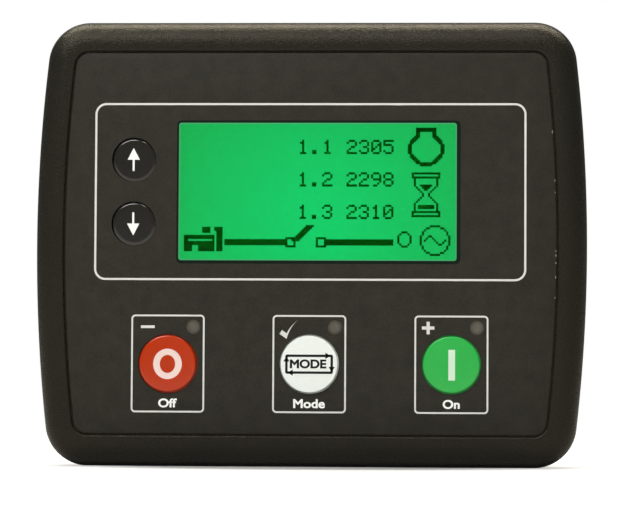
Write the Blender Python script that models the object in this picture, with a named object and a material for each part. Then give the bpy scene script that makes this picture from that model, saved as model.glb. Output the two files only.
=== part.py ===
"""Panel-mounted controller for a generating set, with every piece at its real size.

Units are metres, with +Z up, +X to the right of someone who faces the display and -Y towards
them. The origin is the centre of the panel's cut-out, in the plane of the panel's front face:
the bezel stands in front of that plane and the body reaches through the panel behind it.

Nearly every piece is a loft, a skin stretched over a row of outlines that follow each other
along Y. Depths are chained from the bezel's front back to the terminal plugs, so that a piece
that grows pushes the pieces behind it back. Widths and heights are chained outwards: display,
keys and terminals set the cavity, the cavity sets the body and its cut-out, and the cut-out
sets the bezel.
"""

import math

import bpy
from mathutils import Vector

# Clearances between separate pieces
SEAT_GAP = 0.0003
FIT_GAP = 0.0003
CUT_PAST = 0.0010

# Front bezel, which overlaps the panel round the body's cut-out
CUTOUT_PLAY = 0.00075
OVERLAP_X = 0.0110
OVERLAP_Z = 0.0105
BEZEL_DEPTH = 0.0090
BEZEL_CORNER = 0.0108
SIDE_BOW_RADIUS = 0.4150
EDGE_ROUND_DEPTH = 0.0058
LAND_WIDTH = 0.0012
LAND_EDGE_BREAK = 0.0002
BACK_EDGE_BREAK = 0.0005
RIM_X = 0.0074
RIM_Z = 0.0078
RECESS_DEPTH = 0.0012
RECESS_CORNER = 0.0038
PLATE_THICKNESS = 0.0020
SKIRT_LENGTH = 0.0050
SKIRT_WALL = 0.0018
SKIRT_CORNER = 0.0010

# Coring of the thick rim, under the gasket
CORE_LENGTH = 0.0200
CORE_WIDTH = 0.0024
CORE_DEPTH = 0.0042
CORE_PITCH = 0.0230

# Gasket in the back of the bezel
GASKET_CLEARANCE = 0.0012
GASKET_CORNER = 0.0020
GASKET_WIDTH = 0.0034
GASKET_THICKNESS = 0.0012

# Printed label in the recess
LABEL_GROOVE = 0.0004
LABEL_THICKNESS = 0.0004

# Display opening, window and module
VIEW_TO_TOP = 0.0107
VIEW_TO_RIGHT = 0.01695
VIEW_WIDTH = 0.0708
VIEW_HEIGHT = 0.0347
VIEW_CORNER = 0.0007
WINDOW_MARGIN = 0.0026
WINDOW_THICKNESS = 0.0010
WINDOW_CORNER = 0.0015
WINDOW_LEDGE = 0.0015
GLASS_MARGIN = 0.0018
GLASS_THICKNESS = 0.0018
BACKLIGHT_THICKNESS = 0.0017
FRAME_WALL = 0.0011
FRAME_LIP = 0.0005
FRAME_LIP_WIDTH = 0.0011
FRAME_TAB_WIDTH = 0.0020
FRAME_TAB_THICKNESS = 0.0006
FRAME_TAB_REACH = 0.0006
FRAME_TAB_SPREAD = 0.0280

# Round keys: three large ones in a row under the display and two small ones left of it
KEY_PITCH = 0.0358
KEY_DIAMETER = 0.0150
VIEW_TO_KEYS = 0.01885
KEYS_TO_BOTTOM = 0.00205
KEYS_TO_BOSS = 0.0022
ARROW_KEY_DIAMETER = 0.0110
ARROW_KEY_PITCH = 0.0162
ARROW_ROW_DROP = 0.00025
ARROW_TO_VIEW = 0.00557
ARROW_TO_WALL = 0.00298
KEY_PROUD = 0.0007
KEY_CROWN = 0.00015
KEY_EDGE_WIDTH = 0.0009
KEY_EDGE_DEPTH = 0.0006
KEY_FLANGE = 0.0010
KEY_FLANGE_THICKNESS = 0.0006
KEY_WALL = 0.0014
KEY_TRAVEL = 0.0003
KEY_STEM_DIAMETER = 0.0034

# Tactile switches behind the keys
SWITCH_SIZE = 0.0060
SWITCH_HEIGHT = 0.0032
SWITCH_REACH = 0.0005
SWITCH_EDGE = 0.0004
PLUNGER_DIAMETER = 0.0034
PLUNGER_LENGTH = 0.0016

# Light pipes and lamps beside the keys
PILOT_FROM_KEY = 0.0038
PILOT_ANGLE = math.radians(55.5)
PILOT_DIAMETER = 0.0036
PILOT_FLANGE = 0.00055
PILOT_FLANGE_THICKNESS = 0.0006
PILOT_TAIL_DIAMETER = 0.0030
LAMP_LENGTH = 0.0032
LAMP_WIDTH = 0.0028
LAMP_HEIGHT = 0.0019
LAMP_EDGE = 0.0003

# Circuit boards, their spacers and screws
BOARD_THICKNESS = 0.0016
BOARD_CORNER = 0.0015
DISPLAY_BOARD_EDGE_PLAY = 0.0011
MAIN_BOARD_EDGE_PLAY = 0.0017
LOW_SPACER_RISE = 0.0126
SPACER_LENGTH = 0.0089
SPACER_FLATS = 0.0050
SPACER_STUD_LENGTH = 0.0059
SPACER_BORE_DEPTH = 0.0065
THREAD_DIAMETER = 0.0024
BOSS_DIAMETER = 0.0060
BOSS_TO_WALL = 0.00165
SCREW_HEAD_DIAMETER = 0.0050
SCREW_HEAD_HEIGHT = 0.0016
SCREW_LENGTH = 0.0074

# Plug-in link between the two boards
LINK_X = -0.0060
LINK_Z = -0.0140
LINK_PINS = 8
LINK_PITCH = 0.00254
LINK_WIDTH = 0.0050
LINK_BASE_HEIGHT = 0.0025
LINK_PIN = 0.00064
LINK_PIN_LENGTH = 0.0050

# Parts on the main board
PROCESSOR_X = -0.0260
PROCESSOR_Z = 0.0120
PROCESSOR_SIZE = 0.0140
PROCESSOR_HEIGHT = 0.0013
CAPACITOR_X = -0.0020
CAPACITOR_Z = 0.0100
CAPACITOR_PITCH = 0.0110
CAPACITOR_DIAMETER = 0.0080
CAPACITOR_HEIGHT = 0.0140
INDUCTOR_X = 0.0060
INDUCTOR_Z = -0.0090
INDUCTOR_SIZE = 0.0120
INDUCTOR_HEIGHT = 0.0060
TRANSFORMER_TO_WALL = 0.00515
TRANSFORMER_TO_SCREW = 0.0005
TRANSFORMER_PITCH = 0.0155
TRANSFORMER_WIDTH = 0.0130
TRANSFORMER_DEPTH = 0.0180
TRANSFORMER_HEIGHT = 0.0150
PART_EDGE = 0.0006

# Terminal headers and plugs
HEADER_HEIGHT = 0.0116
HEADER_DEPTH = 0.0092
HEADER_WALL = 0.0009
HEADER_FLOOR = 0.0026
HEADER_END = 0.0005
HEADER_SPACING = 0.0020
HEADER_TO_SIDE = 0.0070
PIN_SIZE = 0.0010
PIN_LENGTH = 0.0075
PLUG_HEIGHT = 0.0095
PLUG_DEPTH = 0.0110
PLUG_END_PLAY = 0.0001
PLUG_EDGE = 0.0006
WIRE_ENTRY_WIDTH = 0.0030
WIRE_ENTRY_HEIGHT = 0.0034
WIRE_ENTRY_DEPTH = 0.0070
WIRE_ENTRY_OFFSET = 0.0016
CLAMP_SCREW_DIAMETER = 0.0036
CLAMP_SCREW_SINK = 0.0010
CLAMP_SCREW_BACK = 0.0052

# Rear housing
HOUSING_WALL = 0.0020
HOUSING_CORNER = 0.0030
HOUSING_DRAFT = 0.0004
HOUSING_EDGE = 0.0008
BLOCK_HEIGHT = 0.0436
BLOCK_SIDE_STEP = 0.0012
BLOCK_RISE = 0.0090
CATCH_WIDTH = 0.0064
CATCH_LENGTH = 0.0026
CATCH_HEIGHT = 0.0013
CATCH_START = 0.0020
CATCH_PITCH = 0.0380
CLIP_SLOT_WIDTH = 0.0034
CLIP_SLOT_LENGTH = 0.0110
CLIP_SLOT_START = 0.0090
CLIP_SLOT_PITCH = 0.0460
VENT_WIDTH = 0.0016
VENT_LENGTH = 0.0240
VENT_PITCH = 0.0040
VENT_TO_SIDE = 0.01085
VENTS = 11

# Square data socket in the back
SOCKET_TO_SIDE = 0.01265
SOCKET_Z = 0.0000
SOCKET_WIDTH = 0.0120
SOCKET_HEIGHT = 0.0110
SOCKET_SINK = 0.0023
SOCKET_SHEET = 0.0004
SOCKET_MOUTH_WIDTH = 0.0085
SOCKET_MOUTH_HEIGHT = 0.0079
SOCKET_BEVEL = 0.0015
SOCKET_FLOOR = 0.0060
TONGUE_WIDTH = 0.0056
TONGUE_HEIGHT = 0.0032
TONGUE_SINK = 0.0024

# Smoothness of arcs, as numbers of straight steps
CORNER_STEPS = 6
BOW_STEPS = 6
ROUND_STEPS = 6
HOUSING_CORNER_STEPS = 4
SMALL_CORNER_STEPS = 3
KEY_SIDES = 24
PIN_SIDES = 12
STRAIGHT_SIDE = 1000.0
SMOOTH_ANGLE = math.radians(35)

# Depths along Y, from the bezel's front to the plugs' backs
BEZEL_FRONT = -BEZEL_DEPTH
RECESS_FLOOR = BEZEL_FRONT + RECESS_DEPTH
PLATE_BACK = RECESS_FLOOR + PLATE_THICKNESS
LABEL_BACK = RECESS_FLOOR - SEAT_GAP
LABEL_FRONT = LABEL_BACK - LABEL_THICKNESS
KEY_FRONT = LABEL_FRONT - KEY_PROUD
WINDOW_BACK = RECESS_FLOOR + WINDOW_THICKNESS
FLANGE_FRONT = PLATE_BACK + SEAT_GAP
KEY_BACK = FLANGE_FRONT + KEY_FLANGE_THICKNESS
GLASS_FRONT = FLANGE_FRONT + FRAME_LIP + SEAT_GAP
GLASS_BACK = GLASS_FRONT + GLASS_THICKNESS
SWITCH_FRONT = KEY_BACK + KEY_TRAVEL + SWITCH_REACH
SWITCH_BACK = SWITCH_FRONT + SWITCH_HEIGHT
BACKLIGHT_BACK = GLASS_BACK + SEAT_GAP + BACKLIGHT_THICKNESS
DISPLAY_BOARD_FRONT = max(SWITCH_BACK, BACKLIGHT_BACK) + SEAT_GAP
DISPLAY_BOARD_BACK = DISPLAY_BOARD_FRONT + BOARD_THICKNESS
SPACER_FRONT = DISPLAY_BOARD_BACK + SEAT_GAP
SPACER_BACK = SPACER_FRONT + SPACER_LENGTH
MAIN_BOARD_FRONT = SPACER_BACK + SEAT_GAP
MAIN_BOARD_BACK = MAIN_BOARD_FRONT + BOARD_THICKNESS
ON_MAIN_BOARD = MAIN_BOARD_BACK + SEAT_GAP
TERRACE_BACK = ON_MAIN_BOARD + HEADER_HEIGHT
PLUG_FRONT = TERRACE_BACK + SEAT_GAP
PLUG_BACK = PLUG_FRONT + PLUG_HEIGHT
BLOCK_BACK = TERRACE_BACK + BLOCK_RISE
HOUSING_FRONT = SEAT_GAP

# Terminal rows as (letter, ways, pitch) from left to right seen from the front
TERMINAL_PITCH = 0.00508
WIDE_TERMINAL_PITCH = 0.00762
BOTTOM_TERMINALS = [("a", 10, TERMINAL_PITCH), ("b", 9, TERMINAL_PITCH)]
TOP_TERMINALS = [
    ("c", 4, WIDE_TERMINAL_PITCH),
    ("d", 4, WIDE_TERMINAL_PITCH),
    ("e", 5, TERMINAL_PITCH),
]


def header_width(ways, pitch):
    """Return a header's outer width."""
    return ways * pitch + 2 * HEADER_END


def row_width(terminals):
    """Return the width of a row of headers and the spaces between them."""
    widths = [header_width(ways, pitch) for _, ways, pitch in terminals]
    return sum(widths) + HEADER_SPACING * (len(widths) - 1)


# Half width and half height of the cavity behind the plate, from what has to go in it
ARROWS_WIDTH = ARROW_TO_WALL + KEY_FLANGE + ARROW_KEY_DIAMETER + ARROW_TO_VIEW
DISPLAY_ROW_HALF = (ARROWS_WIDTH + VIEW_WIDTH + VIEW_TO_RIGHT) / 2
KEY_REACH = KEY_DIAMETER / 2 + KEY_FLANGE
KEY_ROW_HALF = KEY_PITCH + KEY_REACH + KEYS_TO_BOSS + BOSS_DIAMETER + BOSS_TO_WALL
BODY_SHELL = SKIRT_WALL + FIT_GAP + HOUSING_WALL
TERMINAL_ROW_HALF = (
    max(row_width(BOTTOM_TERMINALS), row_width(TOP_TERMINALS)) / 2 + HEADER_TO_SIDE - BODY_SHELL
)
CAVITY_HALF_X = max(DISPLAY_ROW_HALF, KEY_ROW_HALF, TERMINAL_ROW_HALF)
CAVITY_HEIGHT = VIEW_TO_TOP + VIEW_HEIGHT + VIEW_TO_KEYS + KEY_REACH * 2 - KEY_FLANGE + KEYS_TO_BOTTOM
CAVITY_HALF_Z = CAVITY_HEIGHT / 2

# Half sizes of what lies round the cavity
SKIRT_HALF_X = CAVITY_HALF_X + SKIRT_WALL
SKIRT_HALF_Z = CAVITY_HALF_Z + SKIRT_WALL
BODY_HALF_X = CAVITY_HALF_X + BODY_SHELL
BODY_HALF_Z = CAVITY_HALF_Z + BODY_SHELL
CUTOUT_HALF_X = BODY_HALF_X + CUTOUT_PLAY
CUTOUT_HALF_Z = BODY_HALF_Z + CUTOUT_PLAY
BEZEL_HALF_X = CUTOUT_HALF_X + OVERLAP_X
BEZEL_HALF_Z = CUTOUT_HALF_Z + OVERLAP_Z
BLOCK_HALF_X = BODY_HALF_X - HOUSING_DRAFT - BLOCK_SIDE_STEP
BLOCK_HALF_Z = BLOCK_HEIGHT / 2
CONNECTOR_ROW_Z = (BLOCK_HALF_Z + BODY_HALF_Z) / 2

# Places along X of what stands in the raised block, from the block's sides
TRANSFORMER_X = HOUSING_WALL + TRANSFORMER_TO_WALL + TRANSFORMER_WIDTH / 2 - BLOCK_HALF_X
VENT_ROW_WIDTH = (VENTS - 1) * VENT_PITCH + VENT_WIDTH
VENT_X = VENT_TO_SIDE + VENT_ROW_WIDTH / 2 - BLOCK_HALF_X
SOCKET_X = BLOCK_HALF_X - SOCKET_TO_SIDE - SOCKET_WIDTH / 2

# Places on the face, as (x, z)
VIEW_X = CAVITY_HALF_X - VIEW_TO_RIGHT - VIEW_WIDTH / 2
VIEW_Z = CAVITY_HALF_Z - VIEW_TO_TOP - VIEW_HEIGHT / 2
KEY_ROW_Z = KEYS_TO_BOTTOM + KEY_REACH - CAVITY_HALF_Z
ARROW_KEY_X = VIEW_X - VIEW_WIDTH / 2 - ARROW_TO_VIEW - ARROW_KEY_DIAMETER / 2
ARROW_ROW_Z = VIEW_Z - ARROW_ROW_DROP
KEY_PLACES = {
    "up": (ARROW_KEY_X, ARROW_ROW_Z + ARROW_KEY_PITCH / 2, ARROW_KEY_DIAMETER),
    "down": (ARROW_KEY_X, ARROW_ROW_Z - ARROW_KEY_PITCH / 2, ARROW_KEY_DIAMETER),
    "stop": (-KEY_PITCH, KEY_ROW_Z, KEY_DIAMETER),
    "auto": (0.0, KEY_ROW_Z, KEY_DIAMETER),
    "start": (KEY_PITCH, KEY_ROW_Z, KEY_DIAMETER),
}
PILOT_DISTANCE = KEY_DIAMETER / 2 + PILOT_FROM_KEY
PILOT_X = PILOT_DISTANCE * math.cos(PILOT_ANGLE)
PILOT_Z = PILOT_DISTANCE * math.sin(PILOT_ANGLE)
PILOT_PLACES = {
    name: (KEY_PLACES[name][0] + PILOT_X, KEY_PLACES[name][1] + PILOT_Z)
    for name in ("stop", "auto", "start")
}
SPACER_X = CAVITY_HALF_X - BOSS_TO_WALL - BOSS_DIAMETER / 2
SPACER_TOP_Z = CAVITY_HALF_Z - BOSS_TO_WALL - BOSS_DIAMETER / 2
SPACER_LOW_Z = KEY_ROW_Z + LOW_SPACER_RISE
TRANSFORMER_LOW_Z = SPACER_LOW_Z + SCREW_HEAD_DIAMETER / 2 + TRANSFORMER_TO_SCREW
TRANSFORMER_Z = TRANSFORMER_LOW_Z + TRANSFORMER_DEPTH / 2
SPACER_PLACES = [
    (-SPACER_X, SPACER_TOP_Z),
    (SPACER_X, SPACER_TOP_Z),
    (-SPACER_X, SPACER_LOW_Z),
    (SPACER_X, SPACER_LOW_Z),
]

# Colours as sRGB hex
BLACK_MOULDING = "2B2925"
BLACK_HOUSING = "232322"
LABEL_GREY = "373530"
KEY_RED = "B83A1C"
KEY_WHITE = "EEF2EE"
KEY_GREEN = "3CB053"
KEY_DARK = "2A2925"
SMOKED_CLEAR = "5F5B51"
CLEAR_PLASTIC = "E8EEF0"
DISPLAY_GREEN = "20B458"
STEEL = "B9BCBE"
BRASS = "C9A24B"
BOARD_GREEN = "1E5A34"
CHIP_BLACK = "1B1B1D"
TERMINAL_GREEN = "2F8A4C"
GASKET_GREY = "3A3B3C"
LAMP_WHITE = "E6E4DA"
SLEEVE_BLUE = "26364F"
POTTING_BLUE = "22508A"


def clear_scene():
    """Remove what a new file holds."""
    for item in list(bpy.data.objects):
        bpy.data.objects.remove(item)


def linear(hex_colour):
    """Return an sRGB hex colour as linear red, green, blue and alpha."""
    values = [int(hex_colour[i : i + 2], 16) / 255 for i in (0, 2, 4)]
    return [v / 12.92 if v <= 0.04045 else ((v + 0.055) / 1.055) ** 2.4 for v in values] + [1.0]


def finish(item, hex_colour, roughness, metallic=0.0):
    """Give an object its own material and smooth its round faces."""
    surface = bpy.data.materials.new(item.name + "_finish")
    surface.use_nodes = True
    shader = surface.node_tree.nodes["Principled BSDF"]
    shader.inputs["Base Color"].default_value = linear(hex_colour)
    shader.inputs["Roughness"].default_value = roughness
    shader.inputs["Metallic"].default_value = metallic
    surface.diffuse_color = linear(hex_colour)
    item.data.materials.clear()
    item.data.materials.append(surface)
    item.data.shade_smooth()
    item.data.set_sharp_from_angle(angle=SMOOTH_ANGLE)
    return item


def outline(half_x, half_z, corner, bow_radius=STRAIGHT_SIDE, corner_steps=CORNER_STEPS, bow_steps=1):
    """Return the points (x, z) of a rounded rectangle whose left and right sides bow outwards.

    Each bowed side is an arc through the half width at mid height, and each corner is an arc
    tangent to it and to the straight top or bottom. The points run anticlockwise seen from the
    front, and outlines with the same steps have matching points.
    """
    corner_z = half_z - corner
    lean = math.asin(corner_z / (bow_radius - corner))
    corner_x = half_x - bow_radius + (bow_radius - corner) * math.cos(lean)
    turn = (math.pi / 2 - lean) / corner_steps
    angles = [lean + turn * i for i in range(corner_steps + 1)]
    top_right = [(corner_x + corner * math.cos(a), corner_z + corner * math.sin(a)) for a in angles]
    bow_angles = [lean * (2 * i / bow_steps - 1) for i in range(1, bow_steps)]
    right = [(half_x - bow_radius * (1 - math.cos(a)), bow_radius * math.sin(a)) for a in bow_angles]
    top_left = [(-x, z) for x, z in reversed(top_right)]
    left = [(-x, -z) for x, z in right]
    bottom_left = [(-x, -z) for x, z in top_right]
    bottom_right = [(x, -z) for x, z in reversed(top_right)]
    return right + top_right + top_left + left + bottom_left + bottom_right


def rectangle(half_x, half_z):
    """Return the four corners (x, z) of a rectangle, anticlockwise seen from the front."""
    return [(half_x, -half_z), (half_x, half_z), (-half_x, half_z), (-half_x, -half_z)]


def circle(radius, sides):
    """Return evenly spaced points (x, z) on a circle, anticlockwise seen from the front."""
    turn = 2 * math.pi / sides
    return [(radius * math.cos(turn * i), radius * math.sin(turn * i)) for i in range(sides)]


def hexagon(flats):
    """Return a hexagon's corners and mid sides, twelve points that match a twelve-sided circle."""
    middle = flats / 2
    radii = [middle / math.cos(math.pi / 6), middle]
    turn = math.pi / 6
    return [
        (radii[i % 2] * math.cos(turn * i), radii[i % 2] * math.sin(turn * i)) for i in range(12)
    ]


def at(points, x, z):
    """Move the points (x, z) of an outline sideways and up."""
    return [(px + x, pz + z) for px, pz in points]


def loft(rings, ring_shaped=False):
    """Return the vertices and faces of a skin over rings, each a pair of a depth y and an outline.

    The rings run from front to back on the outer side. The first and last are capped, unless the
    shape is a closed ring, whose last outline joins its first.
    """
    count = len(rings[0][1])
    vertices = [(x, y, z) for y, points in rings for x, z in points]
    last = len(rings) if ring_shaped else len(rings) - 1
    faces = []
    for k in range(last):
        start, after = k * count, (k + 1) % len(rings) * count
        for i in range(count):
            j = (i + 1) % count
            faces.append((start + i, after + i, after + j, start + j))
    if not ring_shaped:
        faces.append(tuple(range(count)))
        end = (len(rings) - 1) * count
        faces.append(tuple(end + i for i in reversed(range(count))))
    return vertices, faces


def block(x, z, half_x, half_z, front, back):
    """Return a box between two depths, centred on x and z."""
    points = at(rectangle(half_x, half_z), x, z)
    return loft([(front, points), (back, points)])


def softened_block(x, z, half_x, half_z, front, back, edge):
    """Return a box whose rear edges and long corners are cut at 45 degrees."""
    full = outline(half_x, half_z, edge, corner_steps=1)
    small = outline(half_x - edge, half_z - edge, edge / 2, corner_steps=1)
    return loft([(front, at(full, x, z)), (back - edge, at(full, x, z)), (back, at(small, x, z))])


def turned(profile, sides, x=0.0, z=0.0):
    """Return a body turned about an axis along Y, from pairs of a radius and a depth."""
    return loft([(y, at(circle(radius, sides), x, z)) for radius, y in profile])


def mesh_of(name, shapes):
    """Join shapes that don't meet into one mesh."""
    vertices, faces = [], []
    for shape_vertices, shape_faces in shapes:
        base = len(vertices)
        vertices += shape_vertices
        faces += [tuple(base + i for i in face) for face in shape_faces]
    mesh = bpy.data.meshes.new(name)
    mesh.from_pydata(vertices, [], faces)
    mesh.update()
    return mesh


def piece(name, *shapes, parent=None, place=(0.0, 0.0)):
    """Make an object from shapes, with its origin at a place (x, z) in the panel's plane."""
    item = bpy.data.objects.new(name, mesh_of(name, shapes))
    item.location = Vector((place[0], 0.0, place[1]))
    bpy.context.collection.objects.link(item)
    item.parent = parent
    return item


def twin(name, model, parent, place):
    """Make another object that shares a model's mesh."""
    item = bpy.data.objects.new(name, model.data)
    item.location = Vector((place[0], 0.0, place[1]))
    bpy.context.collection.objects.link(item)
    item.parent = parent
    return item


def combine(item, operation, *shapes):
    """Add shapes to an object's mesh or cut them from it, in the object's own coordinates."""
    tool = bpy.data.objects.new("tool", mesh_of("tool", shapes))
    tool.location = item.location
    bpy.context.collection.objects.link(tool)
    change = item.modifiers.new("change", "BOOLEAN")
    change.operation = operation
    change.solver = "EXACT"
    change.object = tool
    bpy.context.view_layer.update()
    scene_now = bpy.context.evaluated_depsgraph_get()
    result = bpy.data.meshes.new_from_object(item.evaluated_get(scene_now))
    item.modifiers.clear()
    item.data = result
    bpy.data.objects.remove(tool)


def cut(item, *shapes):
    """Cut shapes that don't meet each other from an object."""
    combine(item, "DIFFERENCE", *shapes)


def add(item, *shapes):
    """Fuse shapes that don't meet each other to an object."""
    combine(item, "UNION", *shapes)


def bezel_outline(inset, share=0.0):
    """Return an outline parallel to the bezel's edge, or part of the way to the label's recess.

    The share runs from 0 at the bezel's edge to 1 at the recess.
    """
    half_x = BEZEL_HALF_X - RIM_X * share - inset
    half_z = BEZEL_HALF_Z - RIM_Z * share - inset
    corner = BEZEL_CORNER + (RECESS_CORNER - BEZEL_CORNER) * share - inset
    bow = SIDE_BOW_RADIUS - (BEZEL_HALF_X - half_x)
    return outline(half_x, half_z, corner, bow, bow_steps=BOW_STEPS)


def straight_outline(half_x, half_z, corner):
    """Return an outline with straight sides whose points match the bezel's."""
    return outline(half_x, half_z, corner, bow_steps=BOW_STEPS)


def gasket_outlines(gap):
    """Return the gasket's inner and outer outlines, grown by a gap on both sides."""
    inner = GASKET_CLEARANCE - gap
    outer = GASKET_CLEARANCE + GASKET_WIDTH + gap
    return [
        straight_outline(CUTOUT_HALF_X + reach, CUTOUT_HALF_Z + reach, GASKET_CORNER + reach)
        for reach in (inner, outer)
    ]


def bezel_rim():
    """Return the rings of the bezel's outer side: land, rounded edge and side wall."""
    land = 1 - LAND_WIDTH / RIM_X
    rings = [
        (BEZEL_FRONT + LAND_EDGE_BREAK, bezel_outline(0, 1)),
        (BEZEL_FRONT, bezel_outline(0, 1 - LAND_EDGE_BREAK / RIM_X)),
    ]
    for i in range(ROUND_STEPS + 1):
        angle = math.pi / 2 * i / ROUND_STEPS
        depth = BEZEL_FRONT + EDGE_ROUND_DEPTH * (1 - math.cos(angle))
        rings.append((depth, bezel_outline(0, land * (1 - math.sin(angle)))))
    rings.append((-BACK_EDGE_BREAK, bezel_outline(0)))
    return rings


def front_bezel(parent):
    """Make the moulded bezel: rim, label recess, plate, gasket groove, skirt, bosses and catches."""
    groove_inner, groove_outer = gasket_outlines(FIT_GAP)
    groove_floor = -GASKET_THICKNESS - SEAT_GAP
    skirt_outer = straight_outline(SKIRT_HALF_X, SKIRT_HALF_Z, SKIRT_CORNER)
    skirt_inner = straight_outline(CAVITY_HALF_X, CAVITY_HALF_Z, SKIRT_CORNER)
    rings = [(RECESS_FLOOR, bezel_outline(0, 1))]
    rings += bezel_rim()
    rings += [
        (0.0, bezel_outline(BACK_EDGE_BREAK)),
        (0.0, groove_outer),
        (groove_floor, groove_outer),
        (groove_floor, groove_inner),
        (0.0, groove_inner),
        (0.0, skirt_outer),
        (SKIRT_LENGTH, skirt_outer),
        (SKIRT_LENGTH, skirt_inner),
        (PLATE_BACK, skirt_inner),
    ]
    bezel = piece("front_bezel", loft(rings), parent=parent)
    add(bezel, *spacer_bosses())
    add(bezel, *[catch(x, side) for x, side in catch_places()])
    cut(bezel, *rim_cores(groove_floor))
    cut(bezel, *front_holes(PLATE_BACK + CUT_PAST), *spacer_bores())
    cut(bezel, window_rebate())
    return finish(bezel, BLACK_MOULDING, 0.42)


def spacer_bosses():
    """Return the bosses on the plate's back that the spacers' studs screw into."""
    radius = BOSS_DIAMETER / 2
    start = (RECESS_FLOOR + PLATE_BACK) / 2
    end = DISPLAY_BOARD_FRONT - SEAT_GAP
    return [
        turned([(radius, start), (radius, end)], PIN_SIDES, x, z) for x, z in SPACER_PLACES
    ]


def spacer_bores():
    """Return the cutters of the bosses' bores."""
    radius = THREAD_DIAMETER / 2 + FIT_GAP
    bottom = SPACER_FRONT - SPACER_STUD_LENGTH - SEAT_GAP
    return [
        turned([(radius, bottom), (radius, DISPLAY_BOARD_FRONT)], PIN_SIDES, x, z)
        for x, z in SPACER_PLACES
    ]


def catch_places():
    """Return where the snap catches stand, as (x, side), with side 1 on top and -1 below."""
    return [(i * CATCH_PITCH, side) for side in (1, -1) for i in (-1, 0, 1)]


def catch(x, side):
    """Return one wedge-shaped catch, rooted in the skirt."""
    root = SKIRT_HALF_Z - SKIRT_WALL / 2
    toe = SKIRT_HALF_Z + FIT_GAP
    crest = SKIRT_HALF_Z + CATCH_HEIGHT
    start, end = CATCH_START, CATCH_START + CATCH_LENGTH
    half = CATCH_WIDTH / 2

    def ring(top):
        z = side * (top + root) / 2
        return at(rectangle(half, (top - root) / 2), x, z)

    return loft([(start, ring(crest)), (end, ring(toe))])


def rim_cores(groove_floor):
    """Return the pockets that keep the rim's wall thin, in a row along each side of the groove."""
    middle = GASKET_CLEARANCE + GASKET_WIDTH / 2
    row_x, row_z = CUTOUT_HALF_X + middle, CUTOUT_HALF_Z + middle
    front, back = groove_floor - CORE_DEPTH, groove_floor + CUT_PAST
    pockets = []
    for i in core_steps(CUTOUT_HALF_X):
        for side in (1, -1):
            centre = (i * CORE_PITCH, side * row_z)
            pockets.append(block(*centre, CORE_LENGTH / 2, CORE_WIDTH / 2, front, back))
    for i in core_steps(CUTOUT_HALF_Z):
        for side in (1, -1):
            centre = (side * row_x, i * CORE_PITCH)
            pockets.append(block(*centre, CORE_WIDTH / 2, CORE_LENGTH / 2, front, back))
    return pockets


def core_steps(half_length):
    """Return whole steps of the coring's pitch, for the pockets that fit on a side."""
    count = int((half_length - CORE_LENGTH / 2) // CORE_PITCH)
    return range(-count, count + 1)


def front_holes(back):
    """Return the cutters of the key and light pipe holes, which the plate and the label share."""
    front = BEZEL_FRONT - CUT_PAST
    holes = []
    for x, z, diameter in KEY_PLACES.values():
        radius = diameter / 2 + FIT_GAP
        holes.append(turned([(radius, front), (radius, back)], KEY_SIDES, x, z))
    for x, z in PILOT_PLACES.values():
        radius = PILOT_DIAMETER / 2 + FIT_GAP
        holes.append(turned([(radius, front), (radius, back)], PIN_SIDES, x, z))
    return holes


def window_rebate():
    """Return the cutter of the stepped opening that the clear window lies in."""
    outer_x = VIEW_WIDTH / 2 + WINDOW_MARGIN + FIT_GAP
    outer_z = VIEW_HEIGHT / 2 + WINDOW_MARGIN + FIT_GAP
    rebate = display_outline(outer_x, outer_z, WINDOW_CORNER)
    opening = display_outline(outer_x - WINDOW_LEDGE, outer_z - WINDOW_LEDGE, WINDOW_CORNER / 2)
    step = WINDOW_BACK + SEAT_GAP
    front, back = BEZEL_FRONT - CUT_PAST, PLATE_BACK + CUT_PAST
    return loft([(front, rebate), (step, rebate), (step, opening), (back, opening)])


def display_outline(half_x, half_z, corner):
    """Return a rounded rectangle about the display's centre."""
    points = outline(half_x, half_z, corner, corner_steps=SMALL_CORNER_STEPS)
    return at(points, VIEW_X, VIEW_Z)


def panel_gasket(parent):
    """Make the sealing ring that lies in the bezel's groove and meets the panel."""
    inner, outer = gasket_outlines(0)
    front = -GASKET_THICKNESS
    ring = loft([(front, outer), (0.0, outer), (0.0, inner), (front, inner)], ring_shaped=True)
    return finish(piece("panel_gasket", ring, parent=parent), GASKET_GREY, 0.9)


def fascia_label(parent):
    """Make the printed film that lies in the recess, cut out for display, keys and lamps."""
    edge = bezel_outline(LABEL_GROOVE, 1)
    label = piece("fascia_label", loft([(LABEL_FRONT, edge), (LABEL_BACK, edge)]), parent=parent)
    view = display_outline(VIEW_WIDTH / 2, VIEW_HEIGHT / 2, VIEW_CORNER)
    front, back = BEZEL_FRONT - CUT_PAST, LABEL_BACK + CUT_PAST
    cut(label, *front_holes(back), loft([(front, view), (back, view)]))
    return finish(label, LABEL_GREY, 0.5)


def display_window(parent):
    """Make the clear window under the label's opening."""
    edge = display_outline(
        VIEW_WIDTH / 2 + WINDOW_MARGIN, VIEW_HEIGHT / 2 + WINDOW_MARGIN, WINDOW_CORNER
    )
    window = piece(
        "display_window", loft([(RECESS_FLOOR, edge), (WINDOW_BACK, edge)]), parent=parent
    )
    return finish(window, CLEAR_PLASTIC, 0.06)


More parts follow.
